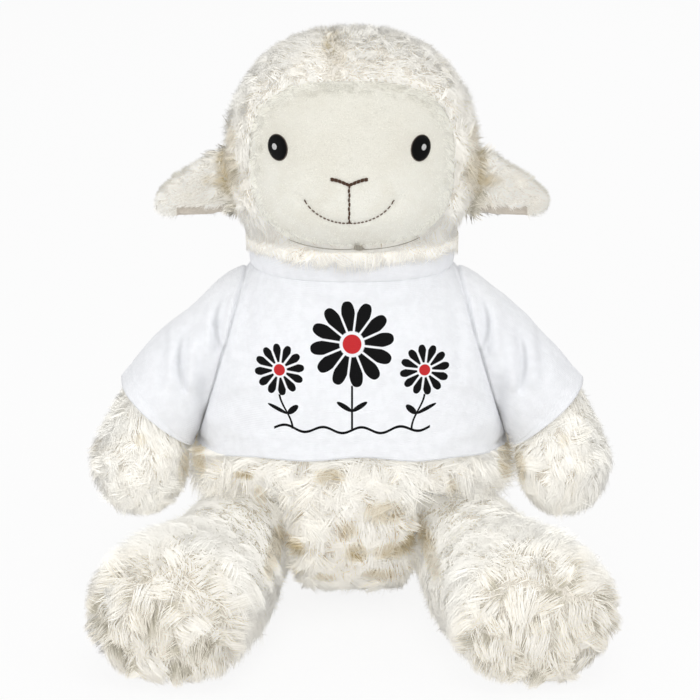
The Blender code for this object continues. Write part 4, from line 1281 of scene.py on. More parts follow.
class BellyWool(Wool):
    """The belly's pile hangs from the shirt's hem and spreads to the hips."""

    def hip(self, x, z):
        return smooth_step(np.abs(x), 0.034, 0.050) * smooth_step(z, 0.030, 0.045)

    def where(self, points, up):
        x, y, z = points.T
        low = 1 - smooth_step(z - hem_height(x), 0.0010, 0.0040)
        front = np.where((y < -0.02) & (z < 0.07), 2.2, 1.0)
        flank = 1 + 1.2 * smooth_step(np.abs(x), 0.036, 0.050) * (z > 0.035) * (y < 0.01)
        return low * front * flank * np.where((up[:, 2] < -0.75) & (y > -0.015), 0, 1)

    def flow(self, points, up):
        x, y, z = points.T
        side = smooth_step(np.abs(x), 0.014, 0.030) * (y < 0.01)
        low = 1 - smooth_step(z, 0.010, 0.026)
        return vectors(np.sign(x) * (1.5 * side + 0.5 * low), -0.15 - 0.8 * low * (y < 0),
                       low * 0.6 - 1.0)

    def scale(self, points, up):
        x, y, z = points.T
        low = 1 - smooth_step(z, 0.016, 0.030)
        return ((1 - 0.35 * low + 0.40 * self.hip(x, z))
                * (1 - 0.5 * belly_gaps(x, z - 0.004, 1.4) * (y < 0)))

    def stand(self, points, up):
        x, y, z = points.T
        inner = (np.abs(up[:, 0]) > 0.5) * (np.abs(x) < 0.036) * (y < 0)
        return 1 + 0.9 * self.hip(x, z) + 1.0 * inner

    def tone(self, points, up):
        x, y, z = points.T
        bare = smooth_step(waves(points, 0.014, 3), 0.45, 0.9)
        # painted shade: strands on the front are darker at the bare patches
        return (0.12 * waves(points, 0.022, 4) - 0.3 * belly_gaps(x, z, 0.9) * (y < 0)
                - 0.30 * bare * (z < 0.06) + 0.01)

    def clear(self, points, roots):
        points[:, 2] = np.minimum(points[:, 2], hem_height(points[:, 0]) + 0.0006)
        return points


class LegWool(Wool):
    """A leg's pile flows along it, and stands in tufts on the round sole."""

    def __init__(self, side):
        self.side = side
        self.hip = np.array((side * HIP[0], HIP[1], HIP[2]))
        self.ahead = np.array((side * math.sin(LEG_SPLAY), -math.cos(LEG_SPLAY), 0))
        self.inwards = np.array((-side * math.cos(LEG_SPLAY), -math.sin(LEG_SPLAY), 0))

    def along(self, points):
        return (points - self.hip) @ self.ahead

    def inner(self, points):
        return (points - self.hip) @ self.inwards

    def padding(self, points):
        """How far the cover swells, most at the inner side of the thigh."""
        thigh = hump(self.along(points), 0.048, 0.026)
        low = 1 - smooth_step(points[:, 2], 0.020, 0.040)
        return 0.0004 + 0.0050 * thigh * smooth_step(self.inner(points), 0.004, 0.022) * low

    def where(self, points, up):
        inside = smooth_step(self.along(points), -0.030, -0.008)
        return (0.20 + 0.80 * inside) * np.where(up[:, 2] < -0.8, 0.25, 1.0)

    def flow(self, points, up):
        toe = self.hip + self.ahead * (LEG_LENGTH - 0.03)
        front = smooth_step(self.along(points)[:, None], 0.06, 0.10)
        mixed = self.ahead + np.array((0, 0, -0.35))
        return (mixed * (1 - front) + unit(points - toe) * front * 0.6
                + np.array((0, 0, -0.6)) * front)

    def sole(self, points, up):
        return smooth_step(self.along(points), 0.090, 0.108)

    def above_sole(self, points, up):
        return 1 - 0.75 * self.sole(points, up)

    def tone(self, points, up):
        # painted light and shade: strands on the leg's top are paler and those on the sole darker,
        # as light falls from above
        top = smooth_step(up[:, 2], -0.2, 0.7)
        bare = smooth_step(waves(points, 0.013, 5 + self.side), 0.35, 0.85)
        return (0.10 * waves(points, 0.020, 8 + self.side) + 0.20 * top
                - (0.28 + 0.34 * bare) * self.sole(points, up))

    def scale(self, points, up):
        return 0.85 + 0.15 * smooth_step(self.along(points), -0.010, 0.020)

    def stand(self, points, up):
        along, inner = self.along(points), self.inner(points)
        high = smooth_step(points[:, 2], 0.014, 0.030)
        outer = smooth_step(-inner, 0.006, 0.022) * high + smooth_step(up[:, 2], 0.2, 0.8)
        inner_low = smooth_step(inner, 0.010, 0.024) * (1 - high)
        far = smooth_step(along, 0.035, 0.075)
        return (1 + 1.3 * np.minimum(outer, 1) * far + 1.6 * inner_low * far
                + 0.3 * (1 - smooth_step(along, 0.0, 0.03)))

    def lean(self, points, up):
        top = smooth_step(up[:, 2], 0.1, 0.7)
        return up + self.ahead * (0.75 * top)[:, None]


class ArmWool(Wool):
    """An arm's pile grows below the cuff and hangs over the hand."""

    def __init__(self, side):
        self.side = side
        top_x, top_z, low_x, low_z = SLEEVE_STATIONS[-1, :4]
        self.cuff = np.array((side * top_x, 0, top_z))
        line = unit(np.array((side * low_x, 0, low_z)) - self.cuff)
        self.beyond = np.array((-line[2], 0, line[0])) * side

    def past_cuff(self, points):
        return (points - self.cuff) @ self.beyond

    def slimmer(self, points):
        """The cover lies closer to its stuffing inside the sleeve, clear of the cloth."""
        return 0.0002 - 0.0042 * (1 - smooth_step(self.past_cuff(points), -0.014, -0.005))

    def where(self, points, up):
        return smooth_step(self.past_cuff(points), -0.004, 0.001)

    def tone(self, points, up):
        return 0.12 * waves(points, 0.018, 15 + self.side) + 0.06

    def stand(self, points, up):
        outer = smooth_step(self.side * points[:, 0], 0.086, 0.098)
        return 1 + (0.9 if self.side < 0 else 0.3) * outer

    def clear(self, points, roots):
        short = np.clip(-0.0005 - self.past_cuff(points), 0, None)
        inside = self.past_cuff(roots) > -0.0005
        return points + self.beyond * (short * inside)[:, None]


def head_window(points):
    """The face's window on the head's front, and far outside it on the back."""
    x, y, z = points.T
    return np.where(y < 0, face_window(x, z), FAR_OUTSIDE)


def head_padding(points):
    """The wool's ground stands a little proud of the face panel's edge."""
    return -0.0002 + 0.0018 * smooth_step(head_window(points), 0.99, 1.05)


def over_collar(points, roots):
    """What hangs below the collar's edge lies on its outside."""
    half_depth = np.where(points[:, 1] < 0, COLLAR_FRONT, COLLAR_BACK) + COLLAR_CLEARANCE
    across = np.abs(points[:, 0] / (COLLAR_HALF_WIDTH + COLLAR_CLEARANCE)) ** SHIRT_POWER
    ring = (across + np.abs(points[:, 1] / half_depth) ** SHIRT_POWER) ** (1 / SHIRT_POWER)
    low = 1 - smooth_step(points[:, 2], COLLAR_TOP_Z + 0.0002, COLLAR_TOP_Z + 0.0055)
    out = np.where((ring < 1.0) & (ring > 0.6), 1 / np.maximum(ring, 0.6), 1.0)
    points[:, :2] *= (1 + (out - 1) * low)[:, None]
    return points


class HeadWool(Wool):
    """The head's curls: parted on top, turned in beside the face, brushed down at the jaw."""

    def where(self, points, up):
        x, y, z = points.T
        window = head_window(points)
        border = 1 + 0.8 * (np.abs(window - 1.03) < 0.05)
        low = np.where((z < 0.152) & (y < -0.01), 0.3, 1.0)
        return smooth_step(window, 0.93, 0.98) * border * low

    def flow(self, points, up):
        x, y, z = points.T
        low = (1 - smooth_step(z, 0.165, 0.190))[:, None]
        parted = hump(x, PARTING_X, 0.010) * smooth_step(z, 0.210, 0.220) * (y < 0)
        beside = 1 - smooth_step(head_window(points), 1.03, 1.13)
        beside = beside * smooth_step(np.abs(x), 0.018, 0.030)
        beside = (beside * smooth_step(z, 0.156, 0.164))[:, None]
        down = vectors(x * 4, 0.10, -1.0)
        over = vectors(x * 8 + np.sign(x - PARTING_X) * parted, -0.25, -0.3)
        inward = vectors(-1.2 * np.sign(x), -0.3, -0.5)
        return (down * low + over * (1 - low)) * (1 - beside) + inward * beside

    def tone(self, points, up):
        x, y, z = points.T
        jaw = 1 - smooth_step(z, 0.156, 0.172)
        border = 1 - smooth_step(head_window(points), 1.0, 1.15)
        by_ear = spot(np.abs(x), z, 0.0465, 0.182, 0.005, 0.014)
        parting_shade = spot(x, z, PARTING_X, 0.228, 0.0032, 0.0085) * (y < 0)
        bare = smooth_step(waves(points, 0.011, 44), 0.5, 0.9) * smooth_step(z, 0.185, 0.205)
        # painted shade beside the ears, along the parting and a little at the jaw; painted light at
        # the face's border
        return (0.12 * waves(points, 0.016, 41) - 0.04 * jaw + 0.06 * border + 0.04
                - 0.55 * by_ear - 0.60 * parting_shade - 0.10 * bare)

    def scale(self, points, up):
        x, y, z = points.T
        near_face = 1 - smooth_step(head_window(points), 1.0, 1.15)
        by_ear = hump(z, 0.189, 0.018) * smooth_step(np.abs(x), 0.036, 0.044)
        low = 1 - smooth_step(z, 0.160, 0.175)
        parted = spot(x, z, PARTING_X, 0.227, 0.0045, 0.010) * (y < 0)
        return (1 - 0.20 * near_face + 0.80 * by_ear + 0.40 * low) * (1 - 0.5 * parted)

    def stand(self, points, up):
        x, y, z = points.T
        by_ear = hump(z, 0.182, 0.014) * smooth_step(np.abs(x), 0.036, 0.044)
        near_face = 1 - smooth_step(head_window(points), 1.0, 1.12)
        low = 1 - smooth_step(z, 0.158, 0.172)
        wide = smooth_step(np.abs(x), 0.028, 0.038)
        return 1 + 0.25 * by_ear + 0.15 * near_face + (0.75 * wide - 0.40) * low

    def lean(self, points, up):
        x, y, z = points.T
        near_face = 1 - smooth_step(head_window(points), 1.0, 1.2)
        jaw = 0.45 * (1 - smooth_step(z, 0.158, 0.168))[:, None]
        forward = vectors(0.0, -0.7 * near_face, 0.2 * near_face)
        return up * (1 - jaw) + forward + vectors(x, y, 0.012) / 0.04 * jaw

    def clear(self, points, roots):
        return over_collar(points, roots)

    def jaw(self, points, up):
        x, y, z = points.T
        low = (z > 0.1530) * (1 - smooth_step(z, 0.160, 0.170))
        return smooth_step(-y, -0.012, 0.010) * low * (up[:, 2] < 0.2)


def ear_raised(co):
    """An ear with its lower edge lifted."""
    co[:, 2] += 0.0030 * (1 - smooth_step(co[:, 2], 0.155, 0.170))
    return co


def ear_opening(out_x, z):
    """1 on the strip of lining that shows below an ear's front flap."""
    along = smooth_step(out_x, 0.0500, 0.0512) * (1 - smooth_step(out_x, 0.0688, 0.0712))
    return along * (1 - smooth_step(z, 0.1640, 0.1646))


class EarWool(Wool):
    """An ear's nap runs from the head to the tip, and leaves the lining bare."""

    def __init__(self, word, side):
        self.side = side
        low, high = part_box(f"{word}_ear_back")
        self.middle_z = (low[2] + high[2]) / 2

    def where(self, points, up):
        x, y, z = points.T
        share = np.abs((x - self.side * EAR_ROOT[0]) / 0.030)
        axis_z = self.middle_z - 0.006 - 0.010 * (share - 0.5)
        away = up[:, 1] * (y - EAR_ROOT[1]) + up[:, 2] * (z - axis_z)
        lined = ear_opening(self.side * x, z) * (y < EAR_ROOT[1] + 0.002)
        return (away > -0.0004) * (1 - lined)

    def flow(self, points, up):
        return vectors(self.side * 1.0, np.sign(points[:, 1]) * 0.05, -0.12)

    def tone(self, points, up):
        out_x = self.side * points[:, 0]
        shade_by_head = 1 - smooth_step(out_x, EAR_ROOT[0] + 0.002, EAR_ROOT[0] + 0.007)
        # painted shade: strands are darker where the ear meets the head
        return 0.14 * waves(points, 0.014, 61 + self.side) + 0.06 - 0.55 * shade_by_head

    def by_root(self, points, up):
        out_x = self.side * points[:, 0]
        return 1 - smooth_step(out_x, EAR_ROOT[0] + 0.004, EAR_ROOT[0] + 0.012)


class TailWool(Wool):
    """The tail's wool hangs back and down."""

    def flow(self, points, up):
        return 0 * points + (0.0, 0.7, -0.7)

    def tone(self, points, up):
        # painted light: the tail's wool is paler than the rest, against the shade at the back
        return 0.10 * waves(points, 0.014, 81) + 0.14


class FaceNap(Wool):
    """The short nap of the face panel, denser and longer towards its rim."""

    def outside(self, points):
        """True on the panel's outer side, its tucked rim included."""
        x, y, z = points.T
        tuck = FACE_TUCK * smooth_step(face_window(x, z), 0.88, 1.0)
        return y < face_depth(x, z) + 0.0007 + tuck

    def where(self, points, up):
        x, y, z = points.T
        return self.outside(points) * (0.55 + 1.1 * smooth_step(face_window(x, z), 0.80, 1.0))

    def flow(self, points, up):
        return vectors(points[:, 0] * 6, 0.0, -1.0)

    def tone(self, points, up):
        forehead = smooth_step(points[:, 2], 0.174, 0.198)
        return 0.10 * waves(points, 0.020, 101) + 0.22 - 0.25 * forehead

    def scale(self, points, up):
        x, y, z = points.T
        return 0.24 + 0.76 * smooth_step(face_window(x, z), 0.84, 1.02)

    def lean(self, points, up):
        return (0.0, -0.7, 0.12) + up * 0.3


class ChinWool(FaceNap):
    """The row of wool that hides the face panel's lower edge."""

    def where(self, points, up):
        x, y, z = points.T
        under = 1 - smooth_step(z, 0.1562, 0.1585)
        under = under * smooth_step(face_window(x, z), 0.93, 0.97)
        return self.outside(points) * under

    def flow(self, points, up):
        return vectors(points[:, 0] * 8, -0.25, -1.0)

    def tone(self, points, up):
        return 0.12 * waves(points, 0.012, 133) - 0.02

    def scale(self, points, up):
        return 1.0

    def lean(self, points, up):
        return (0.0, -0.6, 0.0) + up * 0.6

    def clear(self, points, roots):
        return over_collar(points, roots)


# Operators


class PieceOperator:
    bl_options = {"REGISTER", "UNDO"}


def add_lamp(name, power):
    """A round soft lamp that shines on the sheep."""
    place = LAMPS[name]
    light = bpy.data.lights.new(name, "AREA")
    light.shape, light.size, light.energy = "DISK", LAMP_SIZE, power
    thing = bpy.data.objects.new(name, light)
    thing.location = place
    thing.rotation_euler = (Vector(LAMP_AIM) - Vector(place)).to_track_quat("-Z", "Y").to_euler()
    bpy.context.scene.collection.objects.link(thing)


def add_camera(settings):
    data = bpy.data.cameras.new("camera")
    data.sensor_width = SENSOR_WIDTH
    data.lens = SENSOR_WIDTH * settings.scale * settings.distance / PHOTO_SIZE
    camera = bpy.data.objects.new("camera", data)
    back = Vector((0, -math.cos(settings.tilt), math.sin(settings.tilt)))
    camera.location = Vector((CAMERA_X, 0, settings.height)) + back * settings.distance
    camera.rotation_euler = (-back).to_track_quat("-Z", "Y").to_euler()
    bpy.context.scene.collection.objects.link(camera)
    bpy.context.scene.camera = camera


def add_world(strength):
    """Even light all round, seen as plain white."""
    world = bpy.data.worlds.new("even_light")
    world.use_nodes = True
    bpy.context.scene.world = world
    nodes, links = world.node_tree.nodes, world.node_tree.links
    sky = nodes["Background"]
    white = nodes.new("ShaderNodeBackground")
    for background in (sky, white):
        background.inputs["Color"].default_value = (1, 1, 1, 1)
    sky.inputs["Strength"].default_value = strength
    path = nodes.new("ShaderNodeLightPath")
    mix = nodes.new("ShaderNodeMixShader")
    for number, socket in enumerate((path.outputs["Is Camera Ray"], sky.outputs[0],
                                     white.outputs[0])):
        links.new(socket, mix.inputs[number])
    links.new(mix.outputs[0], nodes["World Output"].inputs[0])


def floor_finish():
    """Pale floor that takes shadows and looks nearly white to the camera."""
    finish = Finish("floor_white", 0.9, Specular_IOR_Level=0.1)
    finish.colour((0.88, 0.88, 0.885))
    path = finish.node("ShaderNodeLightPath").outputs
    seen, *others = (Number(finish, path[f"Is {kind} Ray"])
                     for kind in ("Camera", "Glossy", "Transmission"))
    for other in others:
        seen = seen.sum("MAXIMUM", other)
    glow = finish.node("ShaderNodeEmission", None, {0: (1, 1, 1), 1: 1.0})
    mix = finish.node("ShaderNodeMixShader", None,
                      {0: seen * 0.88, 1: finish.shader.outputs[0], 2: glow.outputs[0]})
    finish.feed(finish.tree.nodes["Material Output"].inputs[0], mix.outputs[0])
    return finish


class SHEEP_OT_stage(PieceOperator, bpy.types.Operator):
    """Make the camera, the lamps, the world and the pale floor."""

    bl_idname = "sheep.stage"
    bl_label = "Stage"

    def execute(self, context):
        settings = context.scene.sheep_stage
        context.scene.view_settings.view_transform = "Standard"
        add_camera(settings)
        for name, power in (("key", settings.key), ("fill_left", settings.fill),
                            ("fill_right", settings.fill * 0.85), ("fill_back", settings.fill),
                            ("fill_top", settings.top)):
            add_lamp(name, power)
        add_world(settings.sky)
        bpy.ops.object.select_all(action="DESELECT")
        bpy.ops.mesh.primitive_plane_add(size=FLOOR_SIZE)
        floor = context.view_layer.objects.active
        floor.name = "floor"
        floor_finish().dress(floor)
        return {"FINISHED"}


class SHEEP_OT_torso(PieceOperator, bpy.types.Operator):
    """Make the stuffed torso and the curly pile of the belly."""

    bl_idname = "sheep.torso"
    bl_label = "Torso"

    def execute(self, context):
        settings = context.scene.sheep_pile
        length, width = settings.belly, settings.width
        form = stuffed("torso", 0.0040, 0.0015, 0.0006, backing_finish("torso_backing"),
                       belly_lifted)
        coats = (
            ("locks", Pile(15000, length, 0.38, 0.0062, 0.42, 1.15, 0.30, width)),
            ("nap", Pile(28500, length * 0.72, 0.42, 0.0050, 0.36, 1.0, 0.12, width * 0.9, 1)),
            fringe_coat(2000, length * 0.8, width, 0.75, swirl=1.2, curl=0.10),
        )
        grown = grow_coats("belly", form, coats, 11, BellyWool())
        finish = pile_of(settings, "belly_wool", shade_patches=BELLY_SHADE_PATCHES)
        settle_pile(grown, "torso", finish, settings)
        return {"FINISHED"}


class SHEEP_OT_legs(PieceOperator, bpy.types.Operator):
    """Make both stuffed legs and their pile."""

    bl_idname = "sheep.legs"
    bl_label = "Legs"

    def execute(self, context):
        settings = context.scene.sheep_pile
        length, width = settings.leg, settings.width
        finish = pile_of(settings, "leg_wool", settings.sole_gap, shade_patches=both_sides(LEG_SHADE_PATCHES))
        backing = backing_finish("leg_backing")
        for word, side in SIDES:
            wool = LegWool(side)
            form = stuffed(f"{word}_leg", 0.0038, 0.0015, wool.padding, backing)
            coats = (
                ("locks", Pile(4400, length, 0.27, 0.0060, 0.30, 0.50, 0.12, width * 0.9, 2,
                               0.35), wool.above_sole),
                ("nap", Pile(31500, length * 0.80, 0.30, 0.0055, 0.22, 0.38, 0.05, width * 0.9, 1,
                             0.35), wool.above_sole),
                ("tufts", Pile(5400, length * 0.95, 0.52, 0.0062, 0.46, 1.2, 0.26, width * 0.85),
                 wool.sole),
                fringe_coat(2400, length * 0.62, width, 0.90),
            )
            grown = grow_coats(f"{word}_leg", form, coats, 21 + side, wool)
            settle_pile(grown, f"{word}_leg", finish, settings)
        return {"FINISHED"}


class SHEEP_OT_arms(PieceOperator, bpy.types.Operator):
    """Make both stuffed arms and the pile of the hands."""

    bl_idname = "sheep.arms"
    bl_label = "Arms"

    def execute(self, context):
        settings = context.scene.sheep_pile
        length, width = settings.arm, settings.width
        finish = pile_of(settings, "arm_wool", shade_patches=both_sides(ARM_SHADE_PATCHES))
        backing = backing_finish("arm_backing")
        for word, side in SIDES:
            wool = ArmWool(side)
            form = stuffed(f"{word}_arm", 0.0034, 0.0012, wool.slimmer, backing)
            coats = (
                ("locks", Pile(4100, length, 0.36, 0.0050, 0.38, 0.95, 0.26, width, 2, 0.8)),
                ("nap", Pile(16500, length * 0.75, 0.38, 0.0045, 0.30, 0.8, 0.10, width * 0.9, 1,
                             0.8)),
                fringe_coat(1400, length * 0.65, width, 0.88),
            )
            grown = grow_coats(f"{word}_arm", form, coats, 31 + side, wool)
            settle_pile(grown, f"{word}_arm", finish, settings)
        return {"FINISHED"}


class SHEEP_OT_head(PieceOperator, bpy.types.Operator):
    """Make the stuffed head and its curly wool."""

    bl_idname = "sheep.head"
    bl_label = "Head"

    def execute(self, context):
        settings = context.scene.sheep_pile
        length, width = settings.head, settings.width
        wool = HeadWool()
        form = stuffed("head", 0.0036, 0.0012, head_padding, backing_finish("head_backing"))
        coats = (
            ("locks", Pile(11000, length, 0.58, 0.0042, 0.34, 1.0, 0.30, width * 0.8, 2, 0.6)),
            ("nap", Pile(40500, length * 0.95, 0.62, 0.0040, 0.30, 0.9, 0.10, width * 0.8, 1,
                         0.5)),
            ("jaw", Pile(5500, length * 1.20, 0.50, 0.0045, 0.20, 0.6, 0.16, width * 0.75),
             wool.jaw),
            fringe_coat(6000, length * 0.80, width, 0.92, 0.0040, 0.10),
        )
        grown = grow_coats("head", form, coats, 51, wool)
        # painted shade: a darker copy of the pile for the jaw's wool
        jaw_shade_finish = pile_of(settings, "jaw_wool_shaded", None, JAW_SHADE_LEVEL)
        others = [thing for thing in grown if "jaw" not in thing.name]
        for thing in grown:
            if thing not in others:
                settle(thing, jaw_shade_finish, "head", "wool_plush")
        finish = pile_of(settings, "head_wool_finish", settings.sole_gap,
                         shade_patches=both_sides(HEAD_SHADE_PATCHES) + PARTING_SHADE_PATCHES)
        settle_pile(others, "head", finish, settings)
        return {"FINISHED"}


class SHEEP_OT_ears(PieceOperator, bpy.types.Operator):
    """Make both folded ears with their lining and wool."""

    bl_idname = "sheep.ears"
    bl_label = "Ears"

    def execute(self, context):
        settings, lined = context.scene.sheep_pile, context.scene.sheep_face.lining
        width = settings.width
        finish = pile_of(settings, "ear_wool", settings.sole_gap, 0.86, both_sides(EAR_SHADE_PATCHES))
        backing = backing_finish("ear_backing", (0.90, 0.87, 0.79), (0.86, 0.82, 0.74))
        lining = face_finish("ear_lining_plush", lined, [0.85 * c for c in lined])
        for word, side in SIDES:
            form = merged_copy(f"{word}_ear_back", f"{word}_ear")
            puff(form, 0.0013, 0, -0.0002)
            co = places(form)
            co[:, 0] -= side * 0.0038 * (1 - smooth_step(side * co[:, 0], EAR_ROOT[0], 0.058))
            co = ear_raised(co)
            # under the front flap's edge the lining shows, set back a little
            opening = ear_opening(side * co[:, 0], co[:, 2]) * (co[:, 1] < EAR_ROOT[1])
            co[:, 1] += 0.0016 * opening
            move_to(form, co)
            backing.dress(form)
            form.data.materials.append(lining.material)
            for flap in form.data.polygons:
                x, y, z = flap.center
                if y < EAR_ROOT[1] and ear_opening(side * x, z) > 0.4:
                    flap.material_index = 1
            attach(form, f"{word}_ear")
            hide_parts(f"{word}_ear_back")
            inside = merged_copy(f"{word}_ear_lining", f"{word}_ear_inside")
            puff(inside, 0.0009, 0, 0.0)
            move_to(inside, ear_raised(places(inside)))
            settle(inside, lining, f"{word}_ear", "ear_plush", f"{word}_ear_lining")
            wool = EarWool(word, side)
            coats = (
                ("nap", Pile(12000, settings.ear, 0.45, 0.0030, 0.06, 0.45, 0.04, width * 0.8, 1,
                             0.7)),
                ("root", Pile(1100, settings.head, 0.60, 0.0040, 0.40, 1.0, 0.30, width),
                 wool.by_root),
                fringe_coat(1600, settings.ear, width, 0.92, 0.0040, 0.20, swirl=0.6),
            )
            grown = grow_coats(f"{word}_ear", form, coats, 71 + side, wool)
            settle_pile(grown, f"{word}_ear", finish, settings)
        return {"FINISHED"}


class SHEEP_OT_tail(PieceOperator, bpy.types.Operator):
    """Make the short tail and its wool."""

    bl_idname = "sheep.tail"
    bl_label = "Tail"

    def execute(self, context):
        settings = context.scene.sheep_pile
        length, width = settings.tail, settings.width
        form = stuffed("tail", 0.0014, 0.0008, 0.0002, backing_finish("tail_backing"))
        coats = (
            ("locks", Pile(2600, length, 0.75, 0.0038, 0.3, 0.9, 0.3, width)),
            ("nap", Pile(9000, length * 0.8, 0.62, 0.0036, 0.3, 0.7, 0.1, width * 0.9, 1)),
        )
        finish = pile_of(settings, "tail_wool")
        for thing in grow_coats("tail", form, coats, 91, TailWool()):
            settle(thing, finish, "tail", "wool_plush")
        return {"FINISHED"}


def face_panel():
    """The smooth panel: rings of points from its middle to its tucked rim."""
    rings, around = 52, 150
    f = np.arange(around) * 2 * math.pi / around
    edge_x = FACE_HALF_WIDTH * FACE_OVERLAP * rounded(np.cos(f), FACE_POWER)
    edge_z = FACE_HALF_HEIGHT * FACE_OVERLAP * rounded(np.sin(f), FACE_POWER)
    share = (np.arange(1, rings + 1) / rings)[:, None]
    x = np.concatenate(([0.0], (edge_x * share).ravel()))
    z = np.concatenate(([FACE_MIDDLE_Z], (FACE_MIDDLE_Z + edge_z * share).ravel()))
    co, out = on_face(x, z)
    co -= out * (FACE_TUCK * smooth_step(face_window(x, z), 0.90, 1.03))[:, None]
    faces = [(0, 1 + j, 1 + (j + 1) % around) for j in range(around)]
    faces += [(1 + a, 1 + d, 1 + c, 1 + b) for a, b, c, d in grid_faces(rings, around, wrap=True)]
    return sheet_of("face", co, faces, FACE_WALL, (0, -1, 0))


class SHEEP_OT_face(PieceOperator, bpy.types.Operator):
    """Make the smooth face panel, its nap and the wool at the chin."""

    bl_idname = "sheep.face"
    bl_label = "Face"

    def execute(self, context):
        settings, wool = context.scene.sheep_face, context.scene.sheep_pile
        face = face_panel()
        plush = face_finish("face_plush", settings.plush, settings.plush_shade)
        settle(face, plush, "head", "face_plush", "face_panel")
        pile = Pile(13000, 0.0045, 0.50, 0.0030, 0.20, 0.8, 0.05, 0.00030, 1, 0.6)
        finish = pile_finish("face_nap_finish", settings.plush, *[settings.plush_shade] * 3)
        for thing in grow_pile("face_nap", face, pile, 111, FaceNap()):
            settle(thing, finish, "head", "face_plush")
        pile = Pile(3800, 0.0058, 0.34, 0.0040, 0.16, 0.5, 0.10, wool.width * 0.75)
        # painted shade: a darker copy of the pile for the chin's wool
        finish = pile_of(wool, "chin_wool_shaded", None, JAW_SHADE_LEVEL)
        for thing in grow_pile("chin_wool", face, pile, 131, ChinWool()):
            settle(thing, finish, "head", "wool_plush")
        return {"FINISHED"}


class SHEEP_OT_eyes(PieceOperator, bpy.types.Operator):
    """Embroider both eyes, each with an outline and a highlight."""

    bl_idname = "sheep.eyes"
    bl_label = "Eyes"

    def execute(self, context):
        settings = context.scene.sheep_face
        black = thread_finish("eye_thread", settings.eye, 0.42, 0.00042, 0.7)
        rim = thread_finish("eye_outline_thread", settings.outline, 0.6, 0.0004, -0.5)
        white = thread_finish("highlight_thread", (0.80, 0.80, 0.80), 0.5, 0.0004)
        for word, side in SIDES:
            x, tilt = side * EYE_X + FACE_SHIFT, -side * EYE_TILT
            outline = embroidered_oval(f"{word}_eye_outline", x, EYE_Z, EYE_HALF_WIDTH + EYE_RIM,
                                       EYE_HALF_HEIGHT + EYE_RIM, tilt, 0.0001, 0.0005)
            settle(outline, rim, "head", "black_thread")
            eye = embroidered_oval(f"{word}_eye_thread", x, EYE_Z, EYE_HALF_WIDTH,
                                   EYE_HALF_HEIGHT, tilt, 0.0003, 0.0013)
            settle(eye, black, "head", "black_thread", f"{word}_eye")
            shine = embroidered_oval(f"{word}_eye_shine", x + side * 0.0005, EYE_Z + 0.0002,
                                     0.0011, 0.0015, tilt, 0.0012, 0.0006)
            settle(shine, white, "head", "white_thread", f"{word}_eye_highlight")
        return {"FINISHED"}


def nose_threads():
    """Two rows of stitches on each side of the nose, and the stem below it."""
    threads = []
    for side in (-1, 1):
        for start in np.arange(NOSE_STITCHES) / NOSE_STITCHES:
            t = np.linspace(start, start + 0.96 / NOSE_STITCHES, 6)
            for row, lift in ((-0.0003, 0.0002), (0.0003, 0.0003)):
                x = side * NOSE_HALF_WIDTH * t + FACE_SHIFT
                z = NOSE_Z + NOSE_RISE * np.sin(t * 1.5) + row
                thick = 0.00036 + 0.00008 * start
                threads.append(thread_tube("nose", on_face(x, z, lift)[0], thick))
    ends = np.linspace(NOSE_Z + 0.0004, STEM_END_Z, STEM_STITCHES + 1)
    for number, (start, end) in enumerate(zip(ends, ends[1:])):
        z = np.linspace(start, end + (start - end) * 0.05, 6)
        x = FACE_SHIFT + 0.00012 * (-1) ** number + 0 * z
        threads.append(thread_tube("stem", on_face(x, z, THREAD_LIFT)[0], 0.00042))
    return threads


def smile_threads():
    """A line of short back stitches."""
    threads = []
    edges = np.linspace(-1, 1, SMILE_STITCHES + 1)
    for start, end in zip(edges, edges[1:]):
        x = MOUTH_HALF_WIDTH * np.linspace(start + 0.012, end - 0.012, 6) + FACE_SHIFT
        path = on_face(x, smile_height(x), THREAD_LIFT)[0]
        threads.append(thread_tube("smile", path, 0.00029))
    return threads


def chin_threads():
    """The face panel's lower seam, with the small tuck where it ends, in grey thread that also
    stands in for the painted shade of the seam's crease.
    """
    span = np.linspace(-0.60, 0.64, 40)
    drop = (1 - np.abs(span) ** FACE_POWER) ** (1 / FACE_POWER)
    z = FACE_MIDDLE_Z - 0.965 * FACE_HALF_HEIGHT * drop
    path = on_face(FACE_HALF_WIDTH * span, z, CHIN_SEAM_LIFT)[0]
    seam = thread_tube("chin_seam_shade", path, 0.00017)
    tuck = embroidered_oval("chin_tuck", 0.0028, z.min() + 0.0004, 0.0019, 0.0008, 0.0,
                            CHIN_SEAM_LIFT, 0.0003)
    return [seam, tuck]


class SHEEP_OT_nose_and_smile(PieceOperator, bpy.types.Operator):
    """Stitch the nose, its stem, the smile and the chin's seam."""

    bl_idname = "sheep.nose_and_smile"
    bl_label = "Nose and smile"

    def execute(self, context):
        settings = context.scene.sheep_face
        brown = thread_finish("nose_thread", settings.nose, 0.6, 0.0005, 0.4)
        dark = thread_finish("smile_thread", settings.smile, 0.65, 0.0006, 0.9)
        grey = thread_finish("chin_shade_thread", settings.chin_seam_shade, 0.8, 0.0006)
        settle(joined("nose", nose_threads()), brown, "head", "brown_thread", "nose_stitching")
        settle(joined("smile", smile_threads()), dark, "head", "smile_thread", "mouth_stitching")
        settle(joined("chin_seam_shade", chin_threads()), grey, "head", "smile_thread")
        return {"FINISHED"}


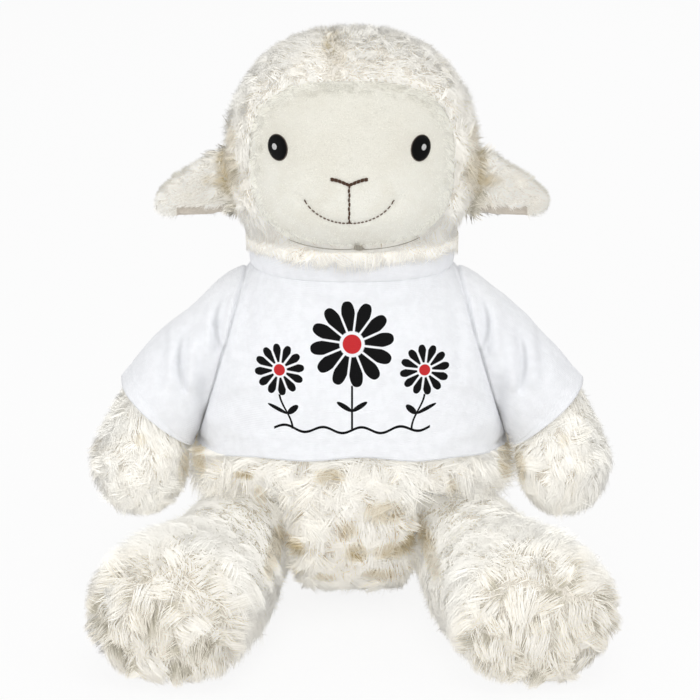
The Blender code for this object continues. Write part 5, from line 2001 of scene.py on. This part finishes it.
class SHEEP_OT_shirt(PieceOperator, bpy.types.Operator):
    """Make the shirt: front with its print, back, sleeves and collar."""

    bl_idname = "sheep.shirt"
    bl_label = "Shirt"

    def execute(self, context):
        settings = context.scene.sheep_shirt
        printed = printed_finish("jersey_front", settings.cloth, settings.ink, settings.accent)
        front = make_shirt_panel("front", True, printed)
        back = make_shirt_panel("back", False, jersey_finish("jersey_back", settings.cloth))
        for word, side in SIDES:
            finish = jersey_finish(f"jersey_{word}", settings.cloth, side * 0.7, SLEEVE_CREASE_SHADES)
            sleeve = make_sleeve(word, side, finish)
        make_collar(jersey_finish("jersey_collar", settings.cloth))
        return {"FINISHED"}


class SHEEP_OT_seam(PieceOperator, bpy.types.Operator):
    """Give the hidden neck seam its thread."""

    bl_idname = "sheep.seam"
    bl_label = "Neck seam"

    def execute(self, context):
        thread = thread_finish("neck_thread", (0.85, 0.82, 0.76), 0.7, 0.0006)
        thread.dress(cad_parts["neck_seam_thread"])
        return {"FINISHED"}


class SHEEP_PT_panel(bpy.types.Panel):
    """The pieces of the sheep, in the order in which they are made."""

    bl_idname = "SHEEP_PT_panel"
    bl_label = "Plush Sheep"
    bl_space_type = "VIEW_3D"
    bl_region_type = "UI"
    bl_category = "Plush Sheep"

    def draw(self, context):
        for settings in (context.scene.sheep_pile, context.scene.sheep_face,
                         context.scene.sheep_shirt, context.scene.sheep_stage):
            box = self.layout.box()
            for key in settings.__annotations__:
                box.prop(settings, key)
        for operator in OPERATORS:
            self.layout.operator(operator.bl_idname)


OPERATORS = (SHEEP_OT_stage, SHEEP_OT_torso, SHEEP_OT_legs, SHEEP_OT_arms, SHEEP_OT_tail,
             SHEEP_OT_head, SHEEP_OT_ears, SHEEP_OT_face, SHEEP_OT_eyes,
             SHEEP_OT_nose_and_smile, SHEEP_OT_shirt, SHEEP_OT_seam)
GROUPS = (("sheep_pile", PileSettings), ("sheep_face", FaceSettings),
          ("sheep_shirt", ShirtSettings), ("sheep_stage", StageSettings))


def register():
    for key, group in GROUPS:
        bpy.utils.register_class(group)
        setattr(bpy.types.Scene, key, PointerProperty(type=group))
    for operator in OPERATORS:
        bpy.utils.register_class(operator)
    bpy.utils.register_class(SHEEP_PT_panel)


def unregister():
    bpy.utils.unregister_class(SHEEP_PT_panel)
    for operator in reversed(OPERATORS):
        bpy.utils.unregister_class(operator)
    for key, group in reversed(GROUPS):
        delattr(bpy.types.Scene, key)
        bpy.utils.unregister_class(group)


def main():
    register()
    for operator in OPERATORS:
        group, name = operator.bl_idname.split(".")
        getattr(getattr(bpy.ops, group), name)()


if __name__ == "__main__":
    main()
